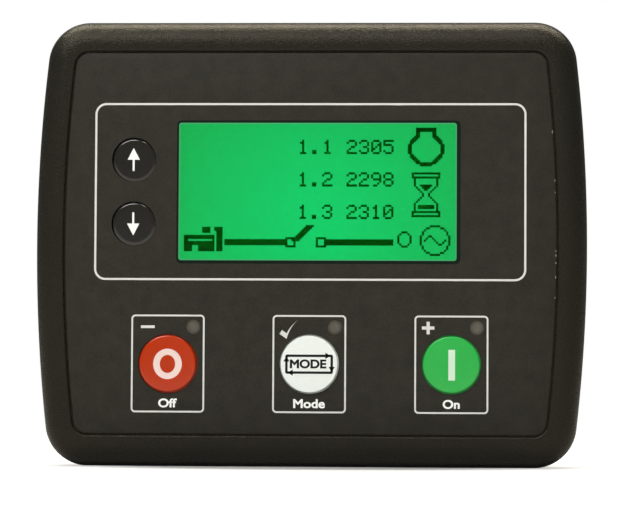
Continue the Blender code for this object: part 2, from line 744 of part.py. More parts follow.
def display_module(parent):
    """Make the display's glass, its backlight panel and the frame that holds both to the board."""
    half_x = VIEW_WIDTH / 2 + GLASS_MARGIN
    half_z = VIEW_HEIGHT / 2 + GLASS_MARGIN
    sheet = at(rectangle(half_x, half_z), VIEW_X, VIEW_Z)
    glass = piece("lcd_glass", loft([(GLASS_FRONT, sheet), (GLASS_BACK, sheet)]), parent=parent)
    finish(glass, DISPLAY_GREEN, 0.2)
    light_front = GLASS_BACK + SEAT_GAP
    panel = loft([(light_front, sheet), (light_front + BACKLIGHT_THICKNESS, sheet)])
    finish(piece("backlight_panel", panel, parent=parent), LAMP_WHITE, 0.4)

    inner_x, inner_z = half_x + FIT_GAP, half_z + FIT_GAP
    outer_x, outer_z = inner_x + FRAME_WALL, inner_z + FRAME_WALL
    outer = display_outline(outer_x, outer_z, FRAME_WALL)
    inner = display_outline(inner_x, inner_z, FIT_GAP)
    lip = display_outline(half_x - FRAME_LIP_WIDTH, half_z - FRAME_LIP_WIDTH, FIT_GAP)
    lip_back = FLANGE_FRONT + FRAME_LIP
    back = DISPLAY_BOARD_FRONT - SEAT_GAP
    rings = [
        (FLANGE_FRONT, outer),
        (back, outer),
        (back, inner),
        (lip_back, inner),
        (lip_back, lip),
        (FLANGE_FRONT, lip),
    ]
    frame = piece("lcd_frame", loft(rings, ring_shaped=True), parent=parent)
    tab_end = DISPLAY_BOARD_BACK + FRAME_TAB_REACH
    add(frame, *frame_tabs(0.0, back - CUT_PAST, tab_end))
    return finish(frame, STEEL, 0.35, 1.0)


def frame_tabs(gap, front, back):
    """Return the frame's four board tabs, or with a gap round them the slots they pass through."""
    row_z = VIEW_HEIGHT / 2 + GLASS_MARGIN + FIT_GAP + FRAME_WALL / 2
    half_x, half_z = FRAME_TAB_WIDTH / 2 + gap, FRAME_TAB_THICKNESS / 2 + gap
    return [
        block(VIEW_X + i * FRAME_TAB_SPREAD, VIEW_Z + side * row_z, half_x, half_z, front, back)
        for side in (1, -1)
        for i in (-1, 1)
    ]


def key_profile(radius):
    """Return a key's turned section: crowned face, soft edge, flange, hollow and stem."""
    stem = KEY_STEM_DIAMETER / 2
    hollow = KEY_FRONT + KEY_EDGE_DEPTH + KEY_WALL
    face = radius - KEY_EDGE_WIDTH
    return [
        (face * 0.35, KEY_FRONT),
        (face * 0.75, KEY_FRONT + KEY_CROWN * 0.5),
        (face, KEY_FRONT + KEY_CROWN),
        (face + KEY_EDGE_WIDTH * 0.7, KEY_FRONT + KEY_EDGE_DEPTH * 0.5),
        (radius, KEY_FRONT + KEY_EDGE_DEPTH),
        (radius, FLANGE_FRONT),
        (radius + KEY_FLANGE, FLANGE_FRONT),
        (radius + KEY_FLANGE, KEY_BACK),
        (radius - KEY_WALL, KEY_BACK),
        (radius - KEY_WALL, hollow),
        (stem, hollow),
        (stem, KEY_BACK),
    ]


def keys(parent):
    """Make the five round keys, each with the switch plunger that moves with it."""
    colours = {
        "up": KEY_DARK,
        "down": KEY_DARK,
        "stop": KEY_RED,
        "auto": KEY_WHITE,
        "start": KEY_GREEN,
    }
    front = KEY_BACK + SEAT_GAP
    radius = PLUNGER_DIAMETER / 2
    for name, (x, z, diameter) in KEY_PLACES.items():
        shape = turned(key_profile(diameter / 2), KEY_SIDES)
        key = piece("button_" + name, shape, parent=parent, place=(x, z))
        finish(key, colours[name], 0.38)
        stem = turned([(radius, front), (radius, front + PLUNGER_LENGTH)], PIN_SIDES)
        finish(piece("plunger_" + name, stem, parent=key), KEY_DARK, 0.5)


def switches(parent):
    """Make the tactile switch bodies behind the keys, each with a well for its plunger."""
    half = SWITCH_SIZE / 2
    soft = outline(half, half, SWITCH_EDGE, corner_steps=1)
    well = PLUNGER_DIAMETER / 2 + FIT_GAP
    well_floor = KEY_BACK + SEAT_GAP + PLUNGER_LENGTH + KEY_TRAVEL + SEAT_GAP
    first = None
    for name, (x, z, _) in KEY_PLACES.items():
        if first is None:
            first = piece(
                "switch_" + name, loft([(SWITCH_FRONT, soft), (SWITCH_BACK, soft)]),
                parent=parent, place=(x, z),
            )
            cut(first, turned([(well, SWITCH_FRONT - CUT_PAST), (well, well_floor)], PIN_SIDES))
            finish(first, CHIP_BLACK, 0.5)
        else:
            twin("switch_" + name, first, parent, (x, z))


def pilots(parent):
    """Make the light pipes beside the three large keys and the lamps behind them."""
    radius = PILOT_DIAMETER / 2
    tail = PILOT_TAIL_DIAMETER / 2
    lamp_back = DISPLAY_BOARD_FRONT - SEAT_GAP
    lamp_front = lamp_back - LAMP_HEIGHT
    flange_back = FLANGE_FRONT + PILOT_FLANGE_THICKNESS
    pipe_profile = [
        (radius, LABEL_FRONT),
        (radius, FLANGE_FRONT),
        (radius + PILOT_FLANGE, FLANGE_FRONT),
        (radius + PILOT_FLANGE, flange_back),
        (tail, flange_back),
        (tail, lamp_front - SEAT_GAP),
    ]
    lamp_front_edge = outline(
        LAMP_LENGTH / 2 - LAMP_EDGE, LAMP_WIDTH / 2 - LAMP_EDGE, LAMP_EDGE, corner_steps=1
    )
    lamp_edge = outline(LAMP_LENGTH / 2, LAMP_WIDTH / 2, LAMP_EDGE, corner_steps=1)
    lamp_rings = [
        (lamp_front, lamp_front_edge),
        (lamp_front + LAMP_EDGE, lamp_edge),
        (lamp_back, lamp_edge),
    ]
    pipe, lamp = None, None
    for name, place in PILOT_PLACES.items():
        if pipe is None:
            shape = turned(pipe_profile, PIN_SIDES)
            pipe = piece("light_pipe_" + name, shape, parent=parent, place=place)
            finish(pipe, SMOKED_CLEAR, 0.3)
            lamp = piece("led_" + name, loft(lamp_rings), parent=parent, place=place)
            finish(lamp, LAMP_WHITE, 0.4)
        else:
            twin("light_pipe_" + name, pipe, parent, place)
            twin("led_" + name, lamp, parent, place)


def board(name, half_x, half_z, front, parent):
    """Make a circuit board with clearance holes for the spacers' studs or screws."""
    edge = outline(half_x, half_z, BOARD_CORNER, corner_steps=SMALL_CORNER_STEPS)
    back = front + BOARD_THICKNESS
    item = piece(name, loft([(front, edge), (back, edge)]), parent=parent)
    radius = THREAD_DIAMETER / 2 + FIT_GAP
    cut(item, *[
        turned([(radius, front - CUT_PAST), (radius, back + CUT_PAST)], PIN_SIDES, x, z)
        for x, z in SPACER_PLACES
    ])
    return item


def boards(parent):
    """Make the display board and the main board."""
    display_x = CAVITY_HALF_X - DISPLAY_BOARD_EDGE_PLAY
    display_z = CAVITY_HALF_Z - DISPLAY_BOARD_EDGE_PLAY
    item = board("display_board", display_x, display_z, DISPLAY_BOARD_FRONT, parent)
    slots = frame_tabs(FIT_GAP, DISPLAY_BOARD_FRONT - CUT_PAST, DISPLAY_BOARD_BACK + CUT_PAST)
    cut(item, *slots)
    finish(item, BOARD_GREEN, 0.45)
    main_x = BODY_HALF_X - HOUSING_WALL - MAIN_BOARD_EDGE_PLAY
    main_z = BODY_HALF_Z - HOUSING_WALL - MAIN_BOARD_EDGE_PLAY
    item = board("main_board", main_x, main_z, MAIN_BOARD_FRONT, parent)
    finish(item, BOARD_GREEN, 0.45)


def spacers_and_screws(parent):
    """Make the hexagonal spacers between the boards and the screws in their rear ends."""
    thread = circle(THREAD_DIAMETER / 2, PIN_SIDES)
    bore = circle(THREAD_DIAMETER / 2 + FIT_GAP, PIN_SIDES)
    flats = hexagon(SPACER_FLATS)
    bore_bottom = SPACER_BACK - SPACER_BORE_DEPTH
    spacer_rings = [
        (SPACER_FRONT - SPACER_STUD_LENGTH, thread),
        (SPACER_FRONT, thread),
        (SPACER_FRONT, flats),
        (SPACER_BACK, flats),
        (SPACER_BACK, bore),
        (bore_bottom, bore),
    ]
    head = SCREW_HEAD_DIAMETER / 2
    under_head = ON_MAIN_BOARD
    screw_profile = [
        (THREAD_DIAMETER / 2, under_head - SCREW_LENGTH),
        (THREAD_DIAMETER / 2, under_head),
        (head, under_head),
        (head, under_head + SCREW_HEAD_HEIGHT * 0.6),
        (head * 0.7, under_head + SCREW_HEAD_HEIGHT),
    ]
    spacer, screw = None, None
    for number, place in enumerate(SPACER_PLACES, 1):
        if spacer is None:
            spacer = piece("board_spacer_1", loft(spacer_rings), parent=parent, place=place)
            finish(spacer, BRASS, 0.3, 1.0)
            shape = turned(screw_profile, PIN_SIDES)
            screw = piece("board_screw_1", shape, parent=parent, place=place)
            finish(screw, STEEL, 0.3, 1.0)
        else:
            twin(f"board_spacer_{number}", spacer, parent, place)
            twin(f"board_screw_{number}", screw, parent, place)


def board_link(parent):
    """Make the pin strip on the main board and the socket strip on the display board."""
    half_x = LINK_PINS * LINK_PITCH / 2
    half_z = LINK_WIDTH / 2
    strip_back = MAIN_BOARD_FRONT - SEAT_GAP
    strip_front = strip_back - LINK_BASE_HEIGHT
    socket_front = DISPLAY_BOARD_BACK + SEAT_GAP
    socket_back = strip_front - SEAT_GAP
    pin_half = LINK_PIN / 2
    pin_end = strip_front - LINK_PIN_LENGTH
    places = [((i - (LINK_PINS - 1) / 2) * LINK_PITCH, 0.0) for i in range(LINK_PINS)]
    centre = (LINK_X, LINK_Z)

    pins = piece(
        "board_link_pins", block(0, 0, half_x, half_z, strip_front, strip_back),
        parent=parent, place=centre,
    )
    root = strip_front + LINK_BASE_HEIGHT / 2
    add(pins, *[block(x, z, pin_half, pin_half, pin_end, root) for x, z in places])
    finish(pins, CHIP_BLACK, 0.5)

    socket = piece(
        "board_link_socket", block(0, 0, half_x, half_z, socket_front, socket_back),
        parent=parent, place=centre,
    )
    well = pin_half + FIT_GAP
    well_floor = pin_end - SEAT_GAP
    cut(socket, *[block(x, z, well, well, well_floor, socket_back + CUT_PAST) for x, z in places])
    finish(socket, CHIP_BLACK, 0.5)


def main_board_parts(parent):
    """Make the larger parts on the main board: processor, capacitors, inductor, transformers."""
    half = PROCESSOR_SIZE / 2
    chip_back = MAIN_BOARD_FRONT - SEAT_GAP
    chip = block(PROCESSOR_X, PROCESSOR_Z, half, half, chip_back - PROCESSOR_HEIGHT, chip_back)
    finish(piece("processor_chip", chip, parent=parent), CHIP_BLACK, 0.45)

    radius = CAPACITOR_DIAMETER / 2
    top = ON_MAIN_BOARD + CAPACITOR_HEIGHT
    can_profile = [
        (radius, ON_MAIN_BOARD),
        (radius, top - PART_EDGE),
        (radius - PART_EDGE, top),
    ]
    for number in (1, 2):
        x = CAPACITOR_X + (number - 1) * CAPACITOR_PITCH
        can = turned(can_profile, PIN_SIDES)
        item = piece(f"supply_capacitor_{number}", can, parent=parent, place=(x, CAPACITOR_Z))
        finish(item, SLEEVE_BLUE, 0.35)

    half = INDUCTOR_SIZE / 2
    back = ON_MAIN_BOARD + INDUCTOR_HEIGHT
    coil = softened_block(INDUCTOR_X, INDUCTOR_Z, half, half, ON_MAIN_BOARD, back, PART_EDGE)
    finish(piece("supply_inductor", coil, parent=parent), CHIP_BLACK, 0.6)

    half_x, half_z = TRANSFORMER_WIDTH / 2, TRANSFORMER_DEPTH / 2
    back = ON_MAIN_BOARD + TRANSFORMER_HEIGHT
    for number in (1, 2, 3):
        x = TRANSFORMER_X + (number - 1) * TRANSFORMER_PITCH
        case = softened_block(x, TRANSFORMER_Z, half_x, half_z, ON_MAIN_BOARD, back, PART_EDGE)
        item = piece(f"current_transformer_{number}", case, parent=parent)
        finish(item, POTTING_BLUE, 0.5)


def connector_row(terminals, side):
    """Return (letter, ways, pitch, centre x, side) for one row of connectors, centred on x = 0."""
    x = -row_width(terminals) / 2
    row = []
    for letter, ways, pitch in terminals:
        width = header_width(ways, pitch)
        row.append((letter, ways, pitch, x + width / 2, side))
        x += width + HEADER_SPACING
    return row


def connectors():
    """Return every connector, the bottom row and then the top row."""
    return connector_row(BOTTOM_TERMINALS, -1) + connector_row(TOP_TERMINALS, 1)


def way_places(ways, pitch):
    """Return the x of each way from a connector's centre."""
    return [(i - (ways - 1) / 2) * pitch for i in range(ways)]


def header(letter, ways, pitch, x, side, parent):
    """Make one board header: an open trough with a row of pins."""
    half_x, half_z = header_width(ways, pitch) / 2, HEADER_DEPTH / 2
    shell = outline(half_x, half_z, HEADER_WALL / 2, corner_steps=1)
    trough = outline(half_x - HEADER_WALL, half_z - HEADER_WALL, HEADER_WALL / 2, corner_steps=1)
    floor = ON_MAIN_BOARD + HEADER_FLOOR
    rings = [
        (ON_MAIN_BOARD, shell),
        (TERRACE_BACK, shell),
        (TERRACE_BACK, trough),
        (floor, trough),
    ]
    place = (x, side * CONNECTOR_ROW_Z)
    item = piece("header_" + letter, loft(rings), parent=parent, place=place)
    half_pin = PIN_SIZE / 2
    root = floor - HEADER_FLOOR / 2
    pins = [
        block(way, 0, half_pin, half_pin, root, floor + PIN_LENGTH)
        for way in way_places(ways, pitch)
    ]
    add(item, *pins)
    return finish(item, TERMINAL_GREEN, 0.5)


def plug(letter, ways, pitch, x, side, parent):
    """Make one terminal plug, seated in its header, with wire entries behind and screws outside."""
    foot_x = header_width(ways, pitch) / 2 - HEADER_WALL - FIT_GAP
    foot_z = HEADER_DEPTH / 2 - HEADER_WALL - FIT_GAP
    half_x, half_z = ways * pitch / 2 - PLUG_END_PLAY, PLUG_DEPTH / 2
    foot = outline(foot_x, foot_z, PLUG_EDGE / 2, corner_steps=1)
    head = outline(half_x, half_z, PLUG_EDGE / 2, corner_steps=1)
    rear = outline(half_x - PLUG_EDGE, half_z - PLUG_EDGE, PLUG_EDGE / 2, corner_steps=1)
    foot_front = ON_MAIN_BOARD + HEADER_FLOOR + SEAT_GAP
    rings = [
        (foot_front, foot),
        (PLUG_FRONT, foot),
        (PLUG_FRONT, head),
        (PLUG_BACK - PLUG_EDGE, head),
        (PLUG_BACK, rear),
    ]
    place = (x, side * CONNECTOR_ROW_Z)
    item = piece("plug_" + letter, loft(rings), parent=parent, place=place)
    ways_x = way_places(ways, pitch)
    well = PIN_SIZE / 2 + FIT_GAP
    well_end = ON_MAIN_BOARD + HEADER_FLOOR + PIN_LENGTH + SEAT_GAP
    cut(item, *[block(way, 0, well, well, foot_front - CUT_PAST, well_end) for way in ways_x])
    entry_x, entry_z = WIRE_ENTRY_WIDTH / 2, WIRE_ENTRY_HEIGHT / 2
    entry_front = PLUG_BACK - WIRE_ENTRY_DEPTH
    entry_place = -side * WIRE_ENTRY_OFFSET
    cut(item, *[
        block(way, entry_place, entry_x, entry_z, entry_front, PLUG_BACK + CUT_PAST)
        for way in ways_x
    ])
    cut(item, *[screw_well(way, side) for way in ways_x])
    return finish(item, TERMINAL_GREEN, 0.45)


def screw_well(way, side):
    """Return the round well over one clamp screw, in the plug's outer face."""
    radius = CLAMP_SCREW_DIAMETER / 2
    centre_y = PLUG_BACK - CLAMP_SCREW_BACK
    face = PLUG_DEPTH / 2
    bottom, top = side * (face - CLAMP_SCREW_SINK), side * (face + CUT_PAST)
    rim = [(way + px, centre_y + py) for px, py in circle(radius, PIN_SIDES)]
    vertices = [(px, py, z) for z in (bottom, top) for px, py in rim]
    count = len(rim)
    faces = [(i, (i + 1) % count, count + (i + 1) % count, count + i) for i in range(count)]
    faces += [tuple(reversed(range(count))), tuple(range(count, 2 * count))]
    if side < 0:
        faces = [tuple(reversed(face)) for face in faces]
    return vertices, faces


def socket_outline(half_x, half_z, bevel):
    """Return a square socket's outline, with both upper corners cut off."""
    return [
        (half_x, -half_z),
        (half_x, half_z - bevel),
        (half_x - bevel, half_z),
        (-half_x + bevel, half_z),
        (-half_x, half_z - bevel),
        (-half_x, -half_z),
    ]


def data_socket(parent):
    """Make the square data socket: a folded steel shell and the insulator with its tongue."""
    place = (SOCKET_X, SOCKET_Z)
    face = BLOCK_BACK - SOCKET_SINK
    half_x, half_z = SOCKET_WIDTH / 2, SOCKET_HEIGHT / 2
    inner_x, inner_z = half_x - SOCKET_SHEET, half_z - SOCKET_SHEET
    outer = socket_outline(half_x, half_z, SOCKET_BEVEL)
    inner = socket_outline(inner_x, inner_z, SOCKET_BEVEL)
    mouth = socket_outline(SOCKET_MOUTH_WIDTH / 2, SOCKET_MOUTH_HEIGHT / 2, SOCKET_BEVEL)
    lip = face - SOCKET_SHEET
    rings = [
        (ON_MAIN_BOARD, outer),
        (face, outer),
        (face, mouth),
        (lip, mouth),
        (lip, inner),
        (ON_MAIN_BOARD, inner),
    ]
    shell = piece("usb_shell", loft(rings, ring_shaped=True), parent=parent, place=place)
    finish(shell, STEEL, 0.3, 1.0)

    core = socket_outline(inner_x - FIT_GAP, inner_z - FIT_GAP, SOCKET_BEVEL)
    insert_rings = [
        (ON_MAIN_BOARD, core),
        (lip - SEAT_GAP, core),
        (lip - SEAT_GAP, mouth),
        (ON_MAIN_BOARD + SOCKET_FLOOR, mouth),
    ]
    insert = piece("usb_insert", loft(insert_rings), parent=parent, place=place)
    root = ON_MAIN_BOARD + SOCKET_FLOOR / 2
    add(insert, block(0, 0, TONGUE_WIDTH / 2, TONGUE_HEIGHT / 2, root, face - TONGUE_SINK))
    finish(insert, CHIP_BLACK, 0.5)


def rear_housing(parent):
    """Make the rear shell: a tub with two lower terraces for the plugs and a raised block."""
    wall = HOUSING_WALL

    def shell(inset, half_x, half_z):
        corner = HOUSING_CORNER - inset * 0.9
        return outline(half_x - inset, half_z - inset, corner, corner_steps=HOUSING_CORNER_STEPS)

    tub_x, tub_z = BODY_HALF_X - HOUSING_DRAFT, BODY_HALF_Z - HOUSING_DRAFT
    rings = [
        (BLOCK_BACK - wall, shell(wall, BLOCK_HALF_X, BLOCK_HALF_Z)),
        (TERRACE_BACK - wall, shell(wall, BLOCK_HALF_X, BLOCK_HALF_Z)),
        (TERRACE_BACK - wall, shell(wall, tub_x, tub_z)),
        (HOUSING_FRONT, shell(wall, BODY_HALF_X, BODY_HALF_Z)),
        (HOUSING_FRONT, shell(0, BODY_HALF_X, BODY_HALF_Z)),
        (TERRACE_BACK - HOUSING_EDGE, shell(0, tub_x, tub_z)),
        (TERRACE_BACK, shell(HOUSING_EDGE, tub_x, tub_z)),
        (TERRACE_BACK, shell(0, BLOCK_HALF_X, BLOCK_HALF_Z)),
        (BLOCK_BACK - HOUSING_EDGE, shell(0, BLOCK_HALF_X, BLOCK_HALF_Z)),
        (BLOCK_BACK, shell(HOUSING_EDGE, BLOCK_HALF_X, BLOCK_HALF_Z)),
    ]
    housing = piece("rear_housing", loft(rings), parent=parent)
    cut(housing, *header_openings())
    cut(housing, *catch_windows(), *clip_slots())
    cut(housing, *vents(), socket_opening())
    return finish(housing, BLACK_HOUSING, 0.5)


def header_openings():
    """Return the cutters of the terrace openings that the headers reach through."""
    return [
        block(
            x, side * CONNECTOR_ROW_Z,
            header_width(ways, pitch) / 2 + FIT_GAP, HEADER_DEPTH / 2 + FIT_GAP,
            TERRACE_BACK - HOUSING_WALL - CUT_PAST, TERRACE_BACK + CUT_PAST,
        )
        for _, ways, pitch, x, side in connectors()
    ]


def catch_windows():
    """Return the cutters of the windows that the bezel's catches snap into."""
    half_x = CATCH_WIDTH / 2 + FIT_GAP
    front, back = CATCH_START - FIT_GAP, CATCH_START + CATCH_LENGTH + FIT_GAP
    half_z = HOUSING_WALL / 2 + CUT_PAST
    wall_z = BODY_HALF_Z - HOUSING_WALL / 2
    return [block(x, side * wall_z, half_x, half_z, front, back) for x, side in catch_places()]


def clip_slots():
    """Return the cutters of the side slots that the panel's fixing clips hook into."""
    half_x = HOUSING_WALL / 2 + CUT_PAST
    wall_x = BODY_HALF_X - HOUSING_WALL / 2
    back = CLIP_SLOT_START + CLIP_SLOT_LENGTH
    return [
        block(side * wall_x, i * CLIP_SLOT_PITCH / 2, half_x, CLIP_SLOT_WIDTH / 2, CLIP_SLOT_START, back)
        for side in (1, -1)
        for i in (-1, 1)
    ]


def vents():
    """Return the cutters of the cooling slots in the raised block's back."""
    front, back = BLOCK_BACK - HOUSING_WALL - CUT_PAST, BLOCK_BACK + CUT_PAST
    return [
        block(VENT_X + (i - (VENTS - 1) / 2) * VENT_PITCH, 0, VENT_WIDTH / 2, VENT_LENGTH / 2, front, back)
        for i in range(VENTS)
    ]


def socket_opening():
    """Return the cutter of the opening round the data socket."""
    points = socket_outline(SOCKET_WIDTH / 2 + FIT_GAP, SOCKET_HEIGHT / 2 + FIT_GAP, SOCKET_BEVEL)
    front, back = BLOCK_BACK - HOUSING_WALL - CUT_PAST, BLOCK_BACK + CUT_PAST
    moved = at(points, SOCKET_X, SOCKET_Z)
    return loft([(front, moved), (back, moved)])


def main():
    """Build the whole controller under one empty at the origin."""
    clear_scene()
    controller = bpy.data.objects.new("controller", None)
    bpy.context.collection.objects.link(controller)
    front_bezel(controller)
    panel_gasket(controller)
    fascia_label(controller)
    display_window(controller)
    display_module(controller)
    keys(controller)
    switches(controller)
    pilots(controller)
    boards(controller)
    spacers_and_screws(controller)
    board_link(controller)
    main_board_parts(controller)
    for connector in connectors():
        header(*connector, controller)
        plug(*connector, controller)
    data_socket(controller)
    rear_housing(controller)


main()
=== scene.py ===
"""Looks, light and camera for a panel-mounted controller of a generating set.

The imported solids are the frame. Pieces that show are made again as smooth surfaces over the same
sizes: the bezel, label, keys, light pipes and display in front, and the housing, plugs and socket
behind. The print, the display's dots and the clamp screws are added to them. Units are metres,
with +Z up, +X to the right of the viewer and -Y towards them.
"""

from __future__ import annotations

import logging
import math
from dataclasses import dataclass
from enum import Enum

import bmesh
import bpy
import numpy as np
from mathutils import Matrix, Vector


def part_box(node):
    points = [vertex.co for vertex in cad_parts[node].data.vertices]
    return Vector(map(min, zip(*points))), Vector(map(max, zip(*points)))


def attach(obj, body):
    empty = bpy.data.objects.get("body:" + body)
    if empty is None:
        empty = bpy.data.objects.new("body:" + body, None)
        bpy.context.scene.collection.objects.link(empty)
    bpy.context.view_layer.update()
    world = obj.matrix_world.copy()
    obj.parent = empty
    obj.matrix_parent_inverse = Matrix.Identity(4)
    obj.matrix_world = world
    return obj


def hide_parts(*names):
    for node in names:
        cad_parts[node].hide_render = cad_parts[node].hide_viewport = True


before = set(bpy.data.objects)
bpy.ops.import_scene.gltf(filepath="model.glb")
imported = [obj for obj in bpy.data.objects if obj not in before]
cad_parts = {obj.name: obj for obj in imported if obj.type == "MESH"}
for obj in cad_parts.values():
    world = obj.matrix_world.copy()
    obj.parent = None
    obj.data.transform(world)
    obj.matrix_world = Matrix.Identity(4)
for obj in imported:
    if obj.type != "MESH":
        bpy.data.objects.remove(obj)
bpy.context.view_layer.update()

log = logging.getLogger("controller")

Shape = tuple[np.ndarray, list]
Pair = tuple[float, float]
Sizes = tuple[float, float, float]

MM = 0.001
QUARTER = math.pi / 2
# Radius of a bowed side that is as good as straight
STRAIGHT = 1000.0
# How far print stands out of the surface under it
INK = 0.00002


class Body(Enum):
    """The frame's bodies that pieces ride on."""

    HOUSING = "housing"
    UP = "key_up"
    DOWN = "key_down"
    STOP = "key_stop"
    AUTO = "key_auto"
    START = "key_start"


def linear(hex_colour: str, factor: float = 1.0) -> tuple[float, float, float, float]:
    """Turn an sRGB hex colour into linear red, green, blue and alpha.

    Args:
        hex_colour: six hex digits.
        factor: how many times lighter the colour gets.

    Returns:
        Four numbers from 0 to 1.
    """
    share = np.array([int(hex_colour[i : i + 2], 16) for i in (0, 2, 4)]) / 255
    value = np.where(share <= 0.04045, share / 12.92, ((share + 0.055) / 1.055) ** 2.4)
    return (*np.minimum(value * factor, 1.0).tolist(), 1.0)


def adjust(node: bpy.types.Node, settings: dict, links: dict) -> bpy.types.Node:
    """Set a node's values and links.

    Args:
        node: the node.
        settings: values of its properties, or of its inputs by name or number.
        links: output sockets by the name or number of the input that they feed.

    Returns:
        The same node.
    """
    for key, value in settings.items():
        if isinstance(key, str) and hasattr(node, key):
            setattr(node, key, value)
        else:
            node.inputs[key].default_value = value
    for key, source in links.items():
        node.id_data.links.new(source, node.inputs[key])
    return node


def add_node(
    tree: bpy.types.NodeTree, kind: str, settings: dict, links: dict, output: int | str = 0
) -> bpy.types.NodeSocket:
    """Add a shader node of a kind with its settings and links, and return one of its outputs."""
    return adjust(tree.nodes.new("ShaderNode" + kind), settings, links).outputs[output]


@dataclass(frozen=True)
class Finish:
    """A surface of one colour with slight variation, a fine relief and uneven gloss.

    The size and height of the relief and the size of the variation are in metres.
    """

    name: str
    colour: str
    roughness: float = 0.45
    specular: float = 0.5
    grain: float = 0.0004
    relief: float = 0.00002
    contrast: float = 0.08
    mottle: float = 0.012
    metallic: float = 0.0
    gloss_range: float = 0.05
    tint: str = "FFFFFF"

    def build(self) -> bpy.types.Material:
        """Make the material, or find it if it is made already.

        Returns:
            The material.
        """
        if self.name in bpy.data.materials:
            return bpy.data.materials[self.name]
        material = bpy.data.materials.new(self.name)
        material.use_nodes = True
        shader = material.node_tree.nodes["Principled BSDF"]
        gloss = {"Specular IOR Level": self.specular, "Specular Tint": linear(self.tint)}
        adjust(shader, gloss | {"Metallic": self.metallic}, {})
        self.paint(material.node_tree, shader, add_node(material.node_tree, "TexCoord", {}, {}, "Object"))
        return material

    def paint(self, tree: bpy.types.NodeTree, shader: bpy.types.Node, place: bpy.types.NodeSocket) -> None:
        """Link noise to colour, roughness and relief.

        Args:
            tree: the material's nodes.
            shader: its principled shader.
            place: the Object coordinates.
        """
        noise = {"Scale": 1 / self.mottle, "Detail": 4.0, "Roughness": 0.6}
        cloud = add_node(tree, "TexNoise", noise, {"Vector": place})
        noise = {"Scale": 1 / self.grain, "Detail": 2.0, "Roughness": 0.55}
        grain = add_node(tree, "TexNoise", noise, {"Vector": place})
        both = add_node(tree, "Math", {"operation": "ADD"}, {0: cloud, 1: grain})
        share = add_node(tree, "MapRange", {"From Min": 0.7, "From Max": 1.3}, {"Value": both})
        ends = {6: linear(self.colour, 1 - self.contrast), 7: linear(self.colour, 1 + self.contrast)}
        colour = add_node(tree, "Mix", {"data_type": "RGBA"} | ends, {0: share}, 2)
        ends = {"To Min": self.roughness - self.gloss_range, "To Max": self.roughness + self.gloss_range}
        gloss = add_node(tree, "MapRange", ends, {"Value": grain})
        bump = add_node(tree, "Bump", {"Strength": 1.0, "Distance": self.relief}, {"Height": grain})
        adjust(shader, {}, {"Base Color": colour, "Roughness": gloss, "Normal": bump})


@dataclass(frozen=True)
class LitDisplay(Finish):
    """A transflective display with a green backlight, brighter in the middle than at its sides."""

    centre: Pair = (0.0, 0.0)
    span: float = 0.05
    edge: str = "20B053"

    def paint(self, tree: bpy.types.NodeTree, shader: bpy.types.Node, place: bpy.types.NodeSocket) -> None:
        """Link a speckled glow that fades with the distance from the centre.

        Args:
            tree: the material's nodes.
            shader: its principled shader.
            place: the Object coordinates.
        """
        middle = (self.centre[0], 0.0, self.centre[1])
        reach = add_node(tree, "VectorMath", {"operation": "DISTANCE", 1: middle}, {0: place}, "Value")
        speckle = add_node(tree, "TexNoise", {"Scale": 1 / self.grain, "Detail": 2.0}, {"Vector": place})
        fade = add_node(tree, "MapRange", {"From Max": self.span}, {"Value": reach})
        rough = add_node(tree, "Math", {"operation": "MULTIPLY_ADD", 1: 0.5}, {0: speckle, 2: fade})
        share = add_node(tree, "MapRange", {"From Min": 0.25, "From Max": 1.25}, {"Value": rough})
        ends = {"data_type": "RGBA", 6: linear(self.colour), 7: linear(self.edge)}
        glow = add_node(tree, "Mix", ends, {0: share}, 2)
        base = {"Base Color": linear(self.colour, 0.12), "Roughness": self.roughness}
        adjust(shader, base | {"Emission Strength": 1.0}, {"Emission Color": glow})


@dataclass(frozen=True)
class MilkyRod(Finish):
    """A smoked rod end, darker towards its edge by painted shade that stands in for the light it scatters
    inside.

    It reads how far out a point is from the attribute "reach", 0 in the middle and 1 at the edge.
    """

    # Colour of the painted shade at the rod end's edge
    edge: str = "3F3C35"

    def paint(self, tree: bpy.types.NodeTree, shader: bpy.types.Node, place: bpy.types.NodeSocket) -> None:
        """Darken the colour towards the edge with painted shade.

        Args:
            tree: the material's nodes.
            shader: its principled shader.
            place: the Object coordinates.
        """
        super().paint(tree, shader, place)
        cloudy = shader.inputs["Base Color"].links[0].from_socket
        reach = add_node(tree, "Attribute", {"attribute_name": "reach"}, {}, "Fac")
        ramp = {"interpolation_type": "SMOOTHSTEP", "From Min": 0.35, "From Max": 1.1}
        fade = add_node(tree, "MapRange", ramp, {"Value": reach})
        ends = {"data_type": "RGBA", 7: linear(self.edge)}
        adjust(shader, {}, {"Base Color": add_node(tree, "Mix", ends, {0: fade, 6: cloudy}, 2)})


@dataclass(frozen=True)
class ClearPane(Finish):
    """Clear acrylic, polished, with hardly any haze."""

    ior: float = 1.49

    def paint(self, tree: bpy.types.NodeTree, shader: bpy.types.Node, place: bpy.types.NodeSocket) -> None:
        """Let light through and add faint smears to the gloss.

        Args:
            tree: the material's nodes.
            shader: its principled shader.
            place: the Object coordinates.
        """
        smear = add_node(tree, "TexNoise", {"Scale": 1 / self.mottle, "Detail": 3.0}, {"Vector": place})
        ends = {"To Min": self.roughness, "To Max": self.roughness + self.gloss_range}
        gloss = add_node(tree, "MapRange", ends, {"Value": smear})
        clear = {"Base Color": linear(self.colour), "Transmission Weight": 1.0, "IOR": self.ior}
        adjust(shader, clear, {"Roughness": gloss})


def ink(name: str, colour: str, contrast: float = 0.02, specular: float = 0.2) -> Finish:
    """Return a screen printing ink: opaque and dull, with hardly any relief."""
    return Finish("screen_ink_" + name, colour, 0.5, specular, 0.0006, 0.000003, contrast)


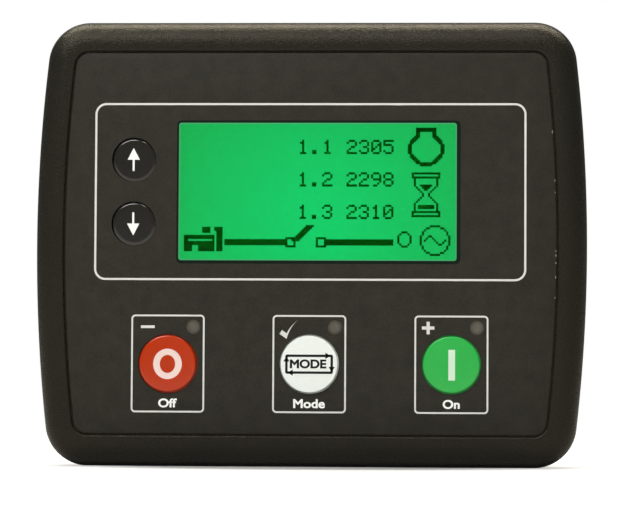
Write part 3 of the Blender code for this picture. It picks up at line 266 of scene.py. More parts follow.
def keycap(name: str, colour: str, specular: float, contrast: float = 0.03) -> Finish:
    """Return the moulded polycarbonate of a keycap, satin on top and smooth at the edge."""
    return Finish("moulded_keycap_" + name, colour, 0.15, specular, 0.0008, 0.000003, contrast)


# The numbers after a colour are roughness, specular, grain, relief and contrast.
# ABS moulded in a spark-eroded tool: a dull, very fine sandy grain. The real grain is about
# 0.1 mm, and it is drawn at 0.42 mm so that it shows
BEZEL_ABS = Finish("moulded_abs_black", "23221D", 0.28, 0.20, 0.00042, 0.00015, tint="FFEED4")
# Polyester overlay film with a velvet texture, screen printed grey on its back
LABEL_FILM = Finish("velvet_polyester_film", "302E28", 0.55, 0.1, 0.0005, 0.00001, 0.2, mottle=0.004)
# Cut edge of the film where it is frayed: a dull pale grey
FRAYED_FILM = Finish("frayed_polyester_edge", "77766F", 0.5, 0.2, 0.0002, 0.00001, 0.3)
# Inks of the label and of the keys' signs, each flat and dull
WHITE_INK = ink("white", "D5D5D0")
BRIGHT_INK = ink("bright", "F4F5F0")
BLACK_INK = ink("black", "17181A", 0.05)
PALE_RED_INK = ink("on_red", "EBD3CA")
PALE_GREEN_INK = ink("on_green", "CFE6CF")
# Painted shade round the display: a black-green band of ink on the film, wider to the right and below,
# standing in for the shadow at the edge of the display's opening
PAINTED_SHADE_BORDER = ink("border", "101E14", 0.1, 0.1)
# Keycaps, glossy enough to mirror the soft lamps
RED_KEY = keycap("red", "B43309", 0.5)
WHITE_KEY = keycap("white", "E9EEE8", 0.4, 0.015)
GREEN_KEY = keycap("green", "30AE4B", 0.45)
DARK_KEY = keycap("black", "262521", 0.74, 0.05)
# Smoked acrylic light pipes, unlit, a milky grey, each end darkened towards its edge by painted shade
SMOKED_ACRYLIC = MilkyRod("smoked_acrylic", "5B564C", 0.35, 0.3, 0.001, 0.000003, 0.12, mottle=0.003)
# Bevelled edge of the acrylic window, a fine satin, made to glow pale green: a painted glow that stands in
# for light along the window's edge
PAINTED_GLOW_EDGE = LitDisplay(
    "acrylic_edge_painted_glow", "46A86C", 0.4, 0.04, 0.0011, centre=(0.004, 0.010), span=0.048, edge="479A68"
)
# Cast acrylic window over the display
CLEAR_ACRYLIC = ClearPane("cast_acrylic_clear", "FCFEFD", 0.01, gloss_range=0.02)
# Display glass with its green backlight on
DISPLAY_GLOW = LitDisplay(
    "display_glass_lit", "17D36D", 0.4, 0.04, 0.0011, centre=(0.002, 0.005), span=0.047
)
# Driven dots of the display, a green so deep that it looks black
DISPLAY_DOT = Finish("display_dot_driven", "008212", 0.4, 0.04, 0.0005, 0.000001)
# ABS for the rear housing, with the same sandy grain
HOUSING_ABS = Finish("moulded_abs_housing", "262624", 0.5, 0.4, 0.0005, 0.00005)
# Closed-cell foam rubber of the gasket: matt, with open cut cells of about 0.4 mm
FOAM_RUBBER = Finish("cut_foam_rubber", "3A3B3C", 0.9, 0.2, 0.0004, 0.00012, 0.18)
# Nickel-plated steel sheet, folded: soft streaks and a pale sheen
PLATED_STEEL = Finish("nickel_plated_steel", "B9BCBE", 0.28, 0.5, 0.0012, 0.000004, 0.05, metallic=1.0)
# Turned brass of the spacers
TURNED_BRASS = Finish("turned_brass", "C9A24B", 0.3, 0.5, 0.0006, 0.000005, 0.06, metallic=1.0)
# Glass-epoxy circuit board under green solder mask, with the weave just showing
BOARD_LAMINATE = Finish("solder_mask_green", "1E5A34", 0.35, 0.5, 0.0008, 0.00001, 0.15)
# Nylon of switches, strips and headers' pin carriers
BLACK_NYLON = Finish("moulded_nylon_black", "1B1B1D", 0.5, 0.5, 0.0005, 0.00001)
# Epoxy moulding compound of the processor
CHIP_EPOXY = Finish("moulded_epoxy_black", "1C1C1F", 0.45, 0.5, 0.0003, 0.00001)
# Heat-shrunk sleeve on the capacitors
SLEEVE_VINYL = Finish("shrunk_sleeve_blue", "26364F", 0.3, 0.5, 0.001, 0.00001)
# Sintered ferrite of the inductor
FERRITE = Finish("sintered_ferrite", "2C2B2B", 0.65, 0.5, 0.0003, 0.00002)
# Potted transformer case
TRANSFORMER_CASE = Finish("moulded_case_blue", "22508A", 0.4, 0.5, 0.0005, 0.00001)
# Green polyamide of the pluggable terminals, slightly waxy
TERMINAL_NYLON = Finish("moulded_polyamide_green", "2F8A4C", 0.42, 0.5, 0.0006, 0.00001, 0.07)
# White ceramic of the lamps, and the reflecting foil of the backlight
LAMP_CERAMIC = Finish("lamp_ceramic_white", "E6E4DA", 0.4, 0.5, 0.0006, 0.000004, 0.03)


def hold(
    piece: bpy.types.Object,
    finish: Finish,
    body: Body = Body.HOUSING,
    stands_for: str = "",
    slot: str = "",
) -> None:
    """Dress a new piece, tie it to its body and hide the CAD node that it stands for.

    Args:
        piece: the new object, with its place in its mesh.
        finish: its surface.
        body: the body that it rides on.
        stands_for: the CAD node that it replaces.
        slot: not used.
    """
    piece.data.materials.clear()
    piece.data.materials.append(finish.build())
    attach(piece, body.value)
    if stands_for:
        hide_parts(stands_for)
    log.info("%s: %d faces in %s", piece.name, len(piece.data.polygons), finish.name)


def linked(name: str, data: bpy.types.ID) -> bpy.types.Object:
    """Make an object and link it to the scene.

    Args:
        name: the object's name.
        data: its mesh, curve, lamp or camera.

    Returns:
        The object.
    """
    item = bpy.data.objects.new(name, data)
    bpy.context.collection.objects.link(item)
    return item


def evaluated(item: bpy.types.Object) -> bpy.types.Mesh:
    """Return a new mesh of an object as it is with its modifiers."""
    bpy.context.view_layer.update()
    return bpy.data.meshes.new_from_object(item.evaluated_get(bpy.context.evaluated_depsgraph_get()))


def smooth(mesh: bpy.types.Mesh, angle: float = 35.0) -> None:
    """Shade a mesh smooth where its faces turn less than an angle in degrees."""
    mesh.shade_smooth()
    mesh.set_sharp_from_angle(angle=math.radians(angle))


def new_piece(name: str, vertices: np.ndarray, faces: list) -> bpy.types.Object:
    """Make an object from points and faces, and link it to the scene.

    Args:
        name: the object's name.
        vertices: an array of points, three columns.
        faces: tuples or lists of vertex numbers.

    Returns:
        The object.
    """
    mesh = bpy.data.meshes.new(name)
    mesh.from_pydata(vertices.tolist(), [], faces)
    mesh.update()
    smooth(mesh)
    return linked(name, mesh)


def spread(points: np.ndarray, depth: float) -> np.ndarray:
    """Stand a flat outline (x, z) up at a depth along Y."""
    return np.column_stack([points[:, 0], np.full(len(points), depth), points[:, 1]])


def stacked(rows: list) -> np.ndarray:
    """Return rings from rows of a depth and an outline (x, z)."""
    return np.stack([spread(points, depth) for depth, points in rows])


def rounded(
    half_x: float,
    half_z: float,
    corner: float,
    bow: float = STRAIGHT,
    corner_steps: int = 16,
    bow_steps: int = 1,
) -> np.ndarray:
    """Return the outline (x, z) of a rounded rectangle whose left and right sides bow outwards.

    Each bowed side is an arc of the bow's radius through the half width at mid height. Each corner
    is an arc tangent to it and to the straight top or bottom: its centre lies on the bow's radius
    line at the height that is the half height less the corner radius.

    Args:
        half_x: half the width at mid height.
        half_z: half the height.
        corner: the corners' radius.
        bow: the bowed sides' radius.
        corner_steps: steps of each corner's arc.
        bow_steps: steps of each bowed side.

    Returns:
        Points that run anticlockwise seen from the front.
    """
    corner_z = half_z - corner
    lean = math.asin(corner_z / (bow - corner))
    corner_x = half_x - bow + (bow - corner) * math.cos(lean)
    angle = np.linspace(lean, QUARTER, corner_steps + 1)
    arc = np.column_stack([corner_x + corner * np.cos(angle), corner_z + corner * np.sin(angle)])
    rise = lean * np.linspace(-1, 1, bow_steps + 1)[1:-1]
    side = np.column_stack([half_x - bow * (1 - np.cos(rise)), bow * np.sin(rise)])
    return np.vstack([side, arc, arc[::-1] * (-1, 1), side * -1, arc * -1, arc[::-1] * (1, -1)])


def circle(radius: float, sides: int) -> np.ndarray:
    """Return the points (x, z) of a circle, anticlockwise seen from the front."""
    angle = np.linspace(0, 2 * math.pi, sides, endpoint=False)
    return radius * np.column_stack([np.cos(angle), np.sin(angle)])


def loft(rings: np.ndarray, closed: bool = False) -> Shape:
    """Stretch a skin over rings that follow each other from front to back.

    Args:
        rings: an array of rings, points and coordinates.
        closed: whether the last ring joins the first, where otherwise both get a cap.

    Returns:
        Vertices and faces of one closed body.
    """
    rows, columns = rings.shape[:2]
    first = np.arange(rows if closed else rows - 1)[:, None]
    along = np.arange(columns)[None, :]
    nearer, further = first * columns, (first + 1) % rows * columns
    beside = (along + 1) % columns
    cells = np.stack([nearer + along, further + along, further + beside, nearer + beside], axis=-1)
    faces = cells.reshape(-1, 4).tolist()
    if not closed:
        faces.append(list(range(columns)))
        faces.append(list(range(rows * columns - 1, (rows - 1) * columns - 1, -1)))
    return rings.reshape(-1, 3), faces


def joined(shapes: list[Shape]) -> Shape:
    """Put several bodies together.

    Args:
        shapes: pairs of vertices and faces.

    Returns:
        All vertices, and all faces numbered to match.
    """
    faces, base = [], 0
    for vertices, own_faces in shapes:
        faces += [[base + i for i in face] for face in own_faces]
        base += len(vertices)
    return np.vstack([vertices for vertices, _ in shapes]), faces


def turned(profile: list, sides: int, middle: Pair) -> Shape:
    """Turn a profile about an axis along Y, with both ends capped.

    Args:
        profile: rows of a radius and a depth y, front to back on the outer side.
        sides: points round the axis.
        middle: the axis's place (x, z).

    Returns:
        Vertices and faces of the turned body.
    """
    return loft(stacked([(depth, np.array(middle) + circle(radius, sides)) for radius, depth in profile]))


def bore(radius: float, depths: Pair, middle: Pair, sides: int) -> Shape:
    """Return a round bar along Y between two depths."""
    return turned([(radius, depth) for depth in depths], sides, middle)


def prism(points: np.ndarray, front: float, back: float) -> Shape:
    """Return a plate between two depths from its outline (x, z), anticlockwise from the front."""
    return loft(stacked([(front, points), (back, points)]))


def ring_plate(outer: np.ndarray, inner: np.ndarray, front: float, back: float) -> Shape:
    """Return a frame-shaped plate between two matching outlines (x, z) and two depths."""
    return loft(stacked([(front, outer), (back, outer), (back, inner), (front, inner)]), closed=True)


def inked(face: float, outer: np.ndarray, inner: np.ndarray | None = None) -> Shape:
    """Return print on a face at a depth: an outline, or a line between two outlines."""
    depths = face - INK, face + INK
    return prism(outer, *depths) if inner is None else ring_plate(outer, inner, *depths)


def lay(name: str, shapes: list[Shape], finish: Finish, body: Body = Body.HOUSING) -> None:
    """Make one dressed piece of bodies that stand for no CAD node."""
    hold(new_piece(name, *joined(shapes)), finish, body)


def cut(piece: bpy.types.Object, shapes: list[Shape]) -> None:
    """Cut bodies that don't meet each other from a piece, for good.

    Args:
        piece: the object that is cut.
        shapes: vertices and faces of the cutters.
    """
    tool = new_piece("cutter", *joined(shapes))
    change = piece.modifiers.new("cut", "BOOLEAN")
    change.operation = "DIFFERENCE"
    change.solver = "EXACT"
    change.object = tool
    result = evaluated(piece)
    piece.modifiers.clear()
    piece.data = result
    smooth(result)
    bpy.data.objects.remove(tool)


@dataclass
class Plan:
    """A rectangle (x, z) seen from the front."""

    left: float
    right: float
    low: float
    high: float

    def __post_init__(self) -> None:
        """Work out its middle and half sizes."""
        self.middle = np.array([(self.left + self.right) / 2, (self.low + self.high) / 2])
        self.half = np.array([(self.right - self.left) / 2, (self.high - self.low) / 2])

    def outline(self, grow: float, corner: float, steps: int = 16) -> np.ndarray:
        """Return its outline grown all round, with corners of a radius."""
        return self.middle + rounded(*(self.half + grow), corner, corner_steps=steps)


def plan(node: str) -> Plan:
    """Return the rectangle that a CAD node fills, seen from the front."""
    low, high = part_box(node)
    return Plan(low[0], high[0], low[2], high[2])


# The label's opening over the display
VIEW = Plan(-0.03338, 0.03703, -0.00444, 0.0305)


@dataclass
class KeySize:
    """Where one key is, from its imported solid, and the radius of its crown."""

    body: Body
    flange: float = 0.0010

    def __post_init__(self) -> None:
        """Read the key's place from the frame."""
        self.name = self.body.name.lower()
        place = plan("button_" + self.name)
        self.middle = place.middle
        self.x, self.z = place.middle
        self.radius = place.half[0] - self.flange


KEYS = [KeySize(body) for body in Body if body is not Body.HOUSING]
ARROW_KEYS, LARGE_KEYS = KEYS[:2], KEYS[2:]


@dataclass
class FrontBezel:
    """The moulded bezel: land, rounded rim, side wall, gasket groove, skirt and pierced plate."""

    half_x: float = 0.0700
    half_z: float = 0.0565
    front: float = -0.0090
    corner: float = 0.0108
    bow: float = 0.4150
    rim_x: float = 0.0074
    rim_z: float = 0.0078
    recess_corner: float = 0.0038
    recess_floor: float = -0.0078
    plate_back: float = -0.0058
    land: float = 0.0012
    round_depth: float = 0.0058
    edge_round: float = 0.0005
    round_steps: int = 28
    corner_steps: int = 24
    bow_steps: int = 40
    groove_inner: Sizes = (0.0599, 0.0469, 0.0029)
    groove_outer: Sizes = (0.0639, 0.0509, 0.0069)
    groove_floor: float = -0.0015
    skirt_outer: Sizes = (0.05595, 0.04295, 0.0010)
    skirt_inner: Sizes = (0.05415, 0.04115, 0.0010)
    skirt_end: float = 0.0050
    back_edge: tuple[Pair, ...] = ((-0.0005, 0.0), (-0.00015, 0.00015), (0.0, 0.0005))
    gap: float = 0.0003
    pipe_hole: float = 0.0021
    ledge: float = 0.0015
    window_corner: float = 0.0015
    ledge_corner: float = 0.0008

    def outline(self, inset: float, share: float = 0.0) -> np.ndarray:
        """Return the bezel's outline moved inwards, or a share of the way to the recess.

        Half sizes and corner radius go in a straight line from the edge to the recess as the share
        goes from 0 to 1, and the inset comes off all of them.

        Args:
            inset: distance inwards.
            share: 0 at the bezel's edge and 1 at the recess.

        Returns:
            The outline's points (x, z).
        """
        half_x = self.half_x - self.rim_x * share - inset
        half_z = self.half_z - self.rim_z * share - inset
        corner = self.corner + (self.recess_corner - self.corner) * share - inset
        bow = self.bow - (self.half_x - half_x)
        return rounded(half_x, half_z, corner, bow, self.corner_steps, self.bow_steps)

    def straight(self, sizes: Sizes) -> np.ndarray:
        """Return a straight-sided outline with as many points as the bezel's."""
        return rounded(*sizes, STRAIGHT, self.corner_steps, self.bow_steps)

    def rings(self) -> np.ndarray:
        """Work out the rings from the recess's floor over the rim to the plate's back.

        The land's inner edge is a quarter of a circle. The rounded rim is a quarter of an ellipse:
        at the angle a its depth is the round's depth times one less cos a, and its share of the
        way in is the land's share times one less sin a.

        Returns:
            The rings as one array.
        """
        land_share = 1 - self.land / self.rim_x
        rows = [(self.recess_floor, self.outline(0, 1))]
        for angle in np.linspace(0, QUARTER, 8):
            inwards = 1 - self.edge_round * (1 - math.cos(angle)) / self.rim_x
            rows.append((self.front + self.edge_round * (1 - math.sin(angle)), self.outline(0, inwards)))
        for angle in np.linspace(0, QUARTER, self.round_steps + 1):
            depth = self.front + self.round_depth * (1 - math.cos(angle))
            rows.append((depth, self.outline(0, land_share * (1 - math.sin(angle)))))
        rows += [(depth, self.outline(inset)) for depth, inset in self.back_edge]
        floor, end = self.groove_floor, self.skirt_end
        behind = [
            (0.0, self.groove_outer), (floor, self.groove_outer), (floor, self.groove_inner),
            (0.0, self.groove_inner), (0.0, self.skirt_outer), (end, self.skirt_outer),
            (end, self.skirt_inner), (self.plate_back, self.skirt_inner),
        ]
        return stacked(rows + [(depth, self.straight(sizes)) for depth, sizes in behind])

    def build(self) -> None:
        """Make the bezel, pierce its plate and dress it."""
        bezel = new_piece("bezel_shell", *loft(self.rings()))
        front, back = self.front - MM, self.plate_back + MM
        holes = [bore(key.radius + self.gap, (front, back), key.middle, 64) for key in KEYS]
        for key in LARGE_KEYS:
            holes.append(bore(self.pipe_hole, (front, back), plan("light_pipe_" + key.name).middle, 32))
        pane = plan("display_window")
        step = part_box("display_window")[1][1] + self.gap
        wide = pane.outline(self.gap, self.window_corner, 6)
        narrow = pane.outline(self.gap - self.ledge, self.ledge_corner, 6)
        holes.append(loft(stacked([(front, wide), (step, wide), (step, narrow), (back, narrow)])))
        cut(bezel, holes)
        hold(bezel, BEZEL_ABS, Body.HOUSING, "front_bezel", "bezel_moulding")


@dataclass
class PrintedLabel:
    """The film overlay in the recess, with its printed frames, signs and words."""

    bezel: FrontBezel
    front: float = -0.0085
    back: float = -0.0081
    groove: float = 0.0005
    edge: tuple[Pair, ...] = ((0.0, 0.00008), (0.00004, 0.00002), (0.0001, 0.0))
    play: float = 0.00003
    arrow_play: float = 0.0001
    pipe_radius: float = 0.0018
    view_corner: float = 0.0007
    main_frame: tuple[float, float, float, float] = (-0.05445, 0.05430, -0.00925, 0.03520)
    main_corner: float = 0.0026
    main_line: float = 0.00052
    frame_top: float = -0.01845
    frame_bottom: float = -0.04272
    frame_halves: float = 0.00908
    frame_corner: float = 0.00085
    frame_line: float = 0.00044
    shade_shift: Pair = (0.00022, -0.00012)
    border_width: float = 0.0007
    border_corner: float = 0.0012
    minus: tuple[Pair, ...] = (
        (-0.04267, -0.02166), (-0.03918, -0.02166), (-0.03918, -0.02098), (-0.04267, -0.02098)
    )
    plus: Pair = (0.02994, -0.02136)
    plus_arm: float = 0.00158
    plus_half: float = 0.0004
    chips: tuple[Pair, ...] = (
        (0.0282, 0.0010), (0.0159, 0.0006), (0.0129, 0.0004), (-0.0019, 0.0004), (-0.0030, 0.0008),
        (-0.0049, 0.0005), (-0.0085, 0.0007), (-0.0136, 0.0005)
    )
    chip_half: float = 0.00013
    words: tuple[tuple[str, float], ...] = (("Off", 0.0047), ("Mode", 0.0080), ("On", 0.0043))
    word_line: float = -0.0417
    word_height: float = 0.0023
    word_weight: float = 0.03

    def build(self) -> None:
        """Make the film, cut it out and print on it."""
        outline = self.bezel.outline
        rows = [(self.front + depth, outline(self.groove + inset, 1)) for depth, inset in self.edge]
        film = new_piece("label_film", *loft(stacked(rows + [(self.back, rows[-1][1])])))
        depths = self.front - MM, self.back + MM
        offset = np.array([-self.arrow_play, self.arrow_play])
        holes = [bore(key.radius + self.arrow_play, depths, key.middle + offset, 96) for key in ARROW_KEYS]
        holes += [bore(key.radius + self.play, depths, key.middle, 96) for key in LARGE_KEYS]
        for key in LARGE_KEYS:
            middle = plan("light_pipe_" + key.name).middle
            holes.append(bore(self.pipe_radius + self.play, depths, middle, 48))
        holes.append(prism(VIEW.outline(0, self.view_corner, 6), *depths))
        cut(film, holes)
        hold(film, LABEL_FILM, Body.HOUSING, "fascia_label", "label_film")
        self.print_frames()
        self.print_signs()
        self.print_words()
        self.chip_edge()

    def framed(self, place: Plan, corner: float, line: float) -> Shape:
        """Return a printed frame from its line's middle: the rectangle, corner radius and width."""
        outer = place.outline(line / 2, corner + line / 2)
        return inked(self.front, outer, place.outline(-line / 2, corner - line / 2))

    def print_frames(self) -> None:
        """Print the frames round display and arrow keys and round the large keys, and lay the painted shade
        round the display as a dark band.
        """
        frames = [self.framed(Plan(*self.main_frame), self.main_corner, self.main_line)]
        for key in LARGE_KEYS:
            sides = key.x - self.frame_halves, key.x + self.frame_halves
            place = Plan(*sides, self.frame_bottom, self.frame_top)
            frames.append(self.framed(place, self.frame_corner, self.frame_line))
        lay("printed_frames", frames, WHITE_INK)
        # The dark band round the opening is painted shade, moved to the right and down so that it is wider
        # there.
        outer = VIEW.outline(self.border_width, self.border_corner) + self.shade_shift
        lay("painted_shade_border", [inked(self.front, outer, VIEW.outline(INK, self.view_corner))], PAINTED_SHADE_BORDER)

    def print_signs(self) -> None:
        """Print the minus, plus and tick beside the light pipes."""
        arm, half = self.plus_arm, self.plus_half
        corner = np.array([(half, -arm), (half, -half), (arm, -half)])
        turn = np.array([(0, 1), (-1, 0)])
        plus = np.vstack([corner @ np.linalg.matrix_power(turn, quarter) for quarter in range(4)])
        outlines = np.array(self.minus), np.array(self.plus) + plus, self.tick()
        lay("printed_signs", [inked(self.front, points) for points in outlines], WHITE_INK)

    def tick(self) -> np.ndarray:
        """Work out the tick: a blunt short leg and a long leg that sweeps up to a point.

        The long leg's two edges are quadratic curves from the foot to the tip, whose points are
        (1 - t) squared of the start, 2 t (1 - t) of the pull and t squared of the end.

        Returns:
            The outline's points (x, z).
        """
        t = np.linspace(0, 1, 13)[:, None]
        foot, tip, notch = np.array([-5.75, -24.23]), np.array([-2.86, -19.45]), np.array([-5.72, -22.85])
        right_pull, left_pull = np.array([-4.9, -21.1]), np.array([-4.75, -20.9])
        right = (1 - t) ** 2 * foot + 2 * t * (1 - t) * right_pull + t**2 * tip
        left = (1 - t) ** 2 * tip + 2 * t * (1 - t) * left_pull + t**2 * notch
        short_leg = np.array([(-6.92, -22.02), (-7.55, -22.98)])
        return np.vstack([right, left[1:], short_leg]) * MM

    def chip_edge(self) -> None:
        """Lay small pale chips on the film's right edge, where its cut edge is frayed.

        The edge stands back from its place at mid height by the height squared over twice the
        bow's radius.
        """
        edge = self.bezel.half_x - self.bezel.rim_x - self.groove - self.edge[0][1]
        chips = []
        for height, length in self.chips:
            middle = np.array([edge - height**2 / (2 * self.bezel.bow), height])
            chips.append(inked(self.front, middle + circle(1.0, 10) * (self.chip_half, length / 2)))
        lay("film_chips", chips, FRAYED_FILM)

    def print_words(self) -> None:
        """Print the word under each large key."""
        for key, (text, width) in zip(LARGE_KEYS, self.words):
            foot = key.x, self.word_line
            word = lettering(text, foot, self.word_height, width, self.front, self.word_weight)
            lay("printed_word_" + key.name, [word], BRIGHT_INK)


def lettering(text: str, foot: Pair, height: float, width: float, face: float, weight: float) -> Shape:
    """Make a word as a thin closed body that stands proud of a face by the print's thickness.

    Args:
        text: the word.
        foot: the middle of its baseline (x, z).
        height: the height of its tallest letter.
        width: its whole width.
        face: the depth of the surface under it.
        weight: how far each stroke's edge is moved outwards, as a share of the letters' size.

    Returns:
        Vertices and faces.
    """
    curve = bpy.data.curves.new("word", "FONT")
    curve.body = text
    curve.extrude = 0.5
    curve.bevel_depth = weight
    curve.bevel_resolution = 0
    curve.resolution_u = 5
    item = linked("word", curve)
    mesh = evaluated(item)
    merge(mesh, 0.0001)
    points = np.empty(len(mesh.vertices) * 3)
    mesh.vertices.foreach_get("co", points)
    points = points.reshape(-1, 3)
    bpy.data.objects.remove(item)
    low, high = points.min(axis=0), points.max(axis=0)
    x = foot[0] + (points[:, 0] - (low[0] + high[0]) / 2) * width / (high[0] - low[0])
    z = foot[1] + (points[:, 1] - low[1]) * height / (high[1] - low[1])
    y = face - np.sign(points[:, 2]) * INK
    return np.column_stack([x, y, z]), [list(side.vertices) for side in mesh.polygons]


def merge(mesh: bpy.types.Mesh, distance: float, flat: float = 0.0) -> None:
    """Merge a mesh's points that lie close together, and its faces that lie in one plane.

    Args:
        mesh: the mesh.
        distance: how close points are that become one.
        flat: degrees between faces that become one, with 0 for none.
    """
    shape = bmesh.new()
    shape.from_mesh(mesh)
    bmesh.ops.remove_doubles(shape, verts=shape.verts, dist=distance)
    if flat:
        bmesh.ops.dissolve_limit(shape, angle_limit=math.radians(flat), verts=shape.verts, edges=shape.edges)
    shape.to_mesh(mesh)
    shape.free()


@dataclass
class Window:
    """The clear pane under the label's opening, its dark printed border and its bevel, which glows with
    painted light.
    """

    corner: float = 0.0015
    eased: float = 0.0001
    border: float = 0.00003
    border_inset: float = 0.0003
    bevel: float = 0.0003
    bevel_outside: float = 0.0001
    bevel_depths: Pair = (-0.00004, -0.00001)

    def build(self) -> None:
        """Make the pane, its border and its bevel."""
        pane, (low, high) = plan("display_window"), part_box("display_window")
        full = pane.outline(0, self.corner, 8)
        small = pane.outline(-self.eased, self.corner - self.eased, 8)
        rows = [(low[1], small), (low[1] + self.eased, full), (high[1] - self.eased, full), (high[1], small)]
        clear = new_piece("window_pane", *loft(stacked(rows)))
        hold(clear, CLEAR_ACRYLIC, Body.HOUSING, "display_window", "window_clear")
        edge = pane.outline(-self.border_inset, self.corner - self.border_inset, 8)
        back = high[1] + 0.00001
        frame_shape = ring_plate(edge, VIEW.outline(0, 0.0008, 8), back, back + self.border)
        lay("window_border", [frame_shape], BLACK_INK)
        # The bevel emits light: a painted glow along the inside of the opening.
        outer, inner = VIEW.outline(self.bevel_outside, 0.0008), VIEW.outline(-self.bevel, 0.0005)
        depths = [low[1] + depth for depth in self.bevel_depths]
        lay("window_bevel_painted_glow", [ring_plate(outer, inner, *depths)], PAINTED_GLOW_EDGE)


# Each sign's seven rows of five dots, from the top
DOT_FONT = {
    "0": "01110 10001 10011 10101 11001 10001 01110",
    "1": "00100 01100 00100 00100 00100 00100 01110",
    "2": "01110 10001 00001 00110 01000 10000 11111",
    "3": "01110 10001 00001 00110 00001 10001 01110",
    "5": "11111 10000 11110 00001 00001 10001 01110",
    "8": "01110 10001 10001 01110 10001 10001 01110",
    "9": "01110 10001 10001 01111 00001 00010 01100",
    ".": "00000 00000 00000 00000 00000 01100 01100",
    " ": "00000 00000 00000 00000 00000 00000 00000",
}


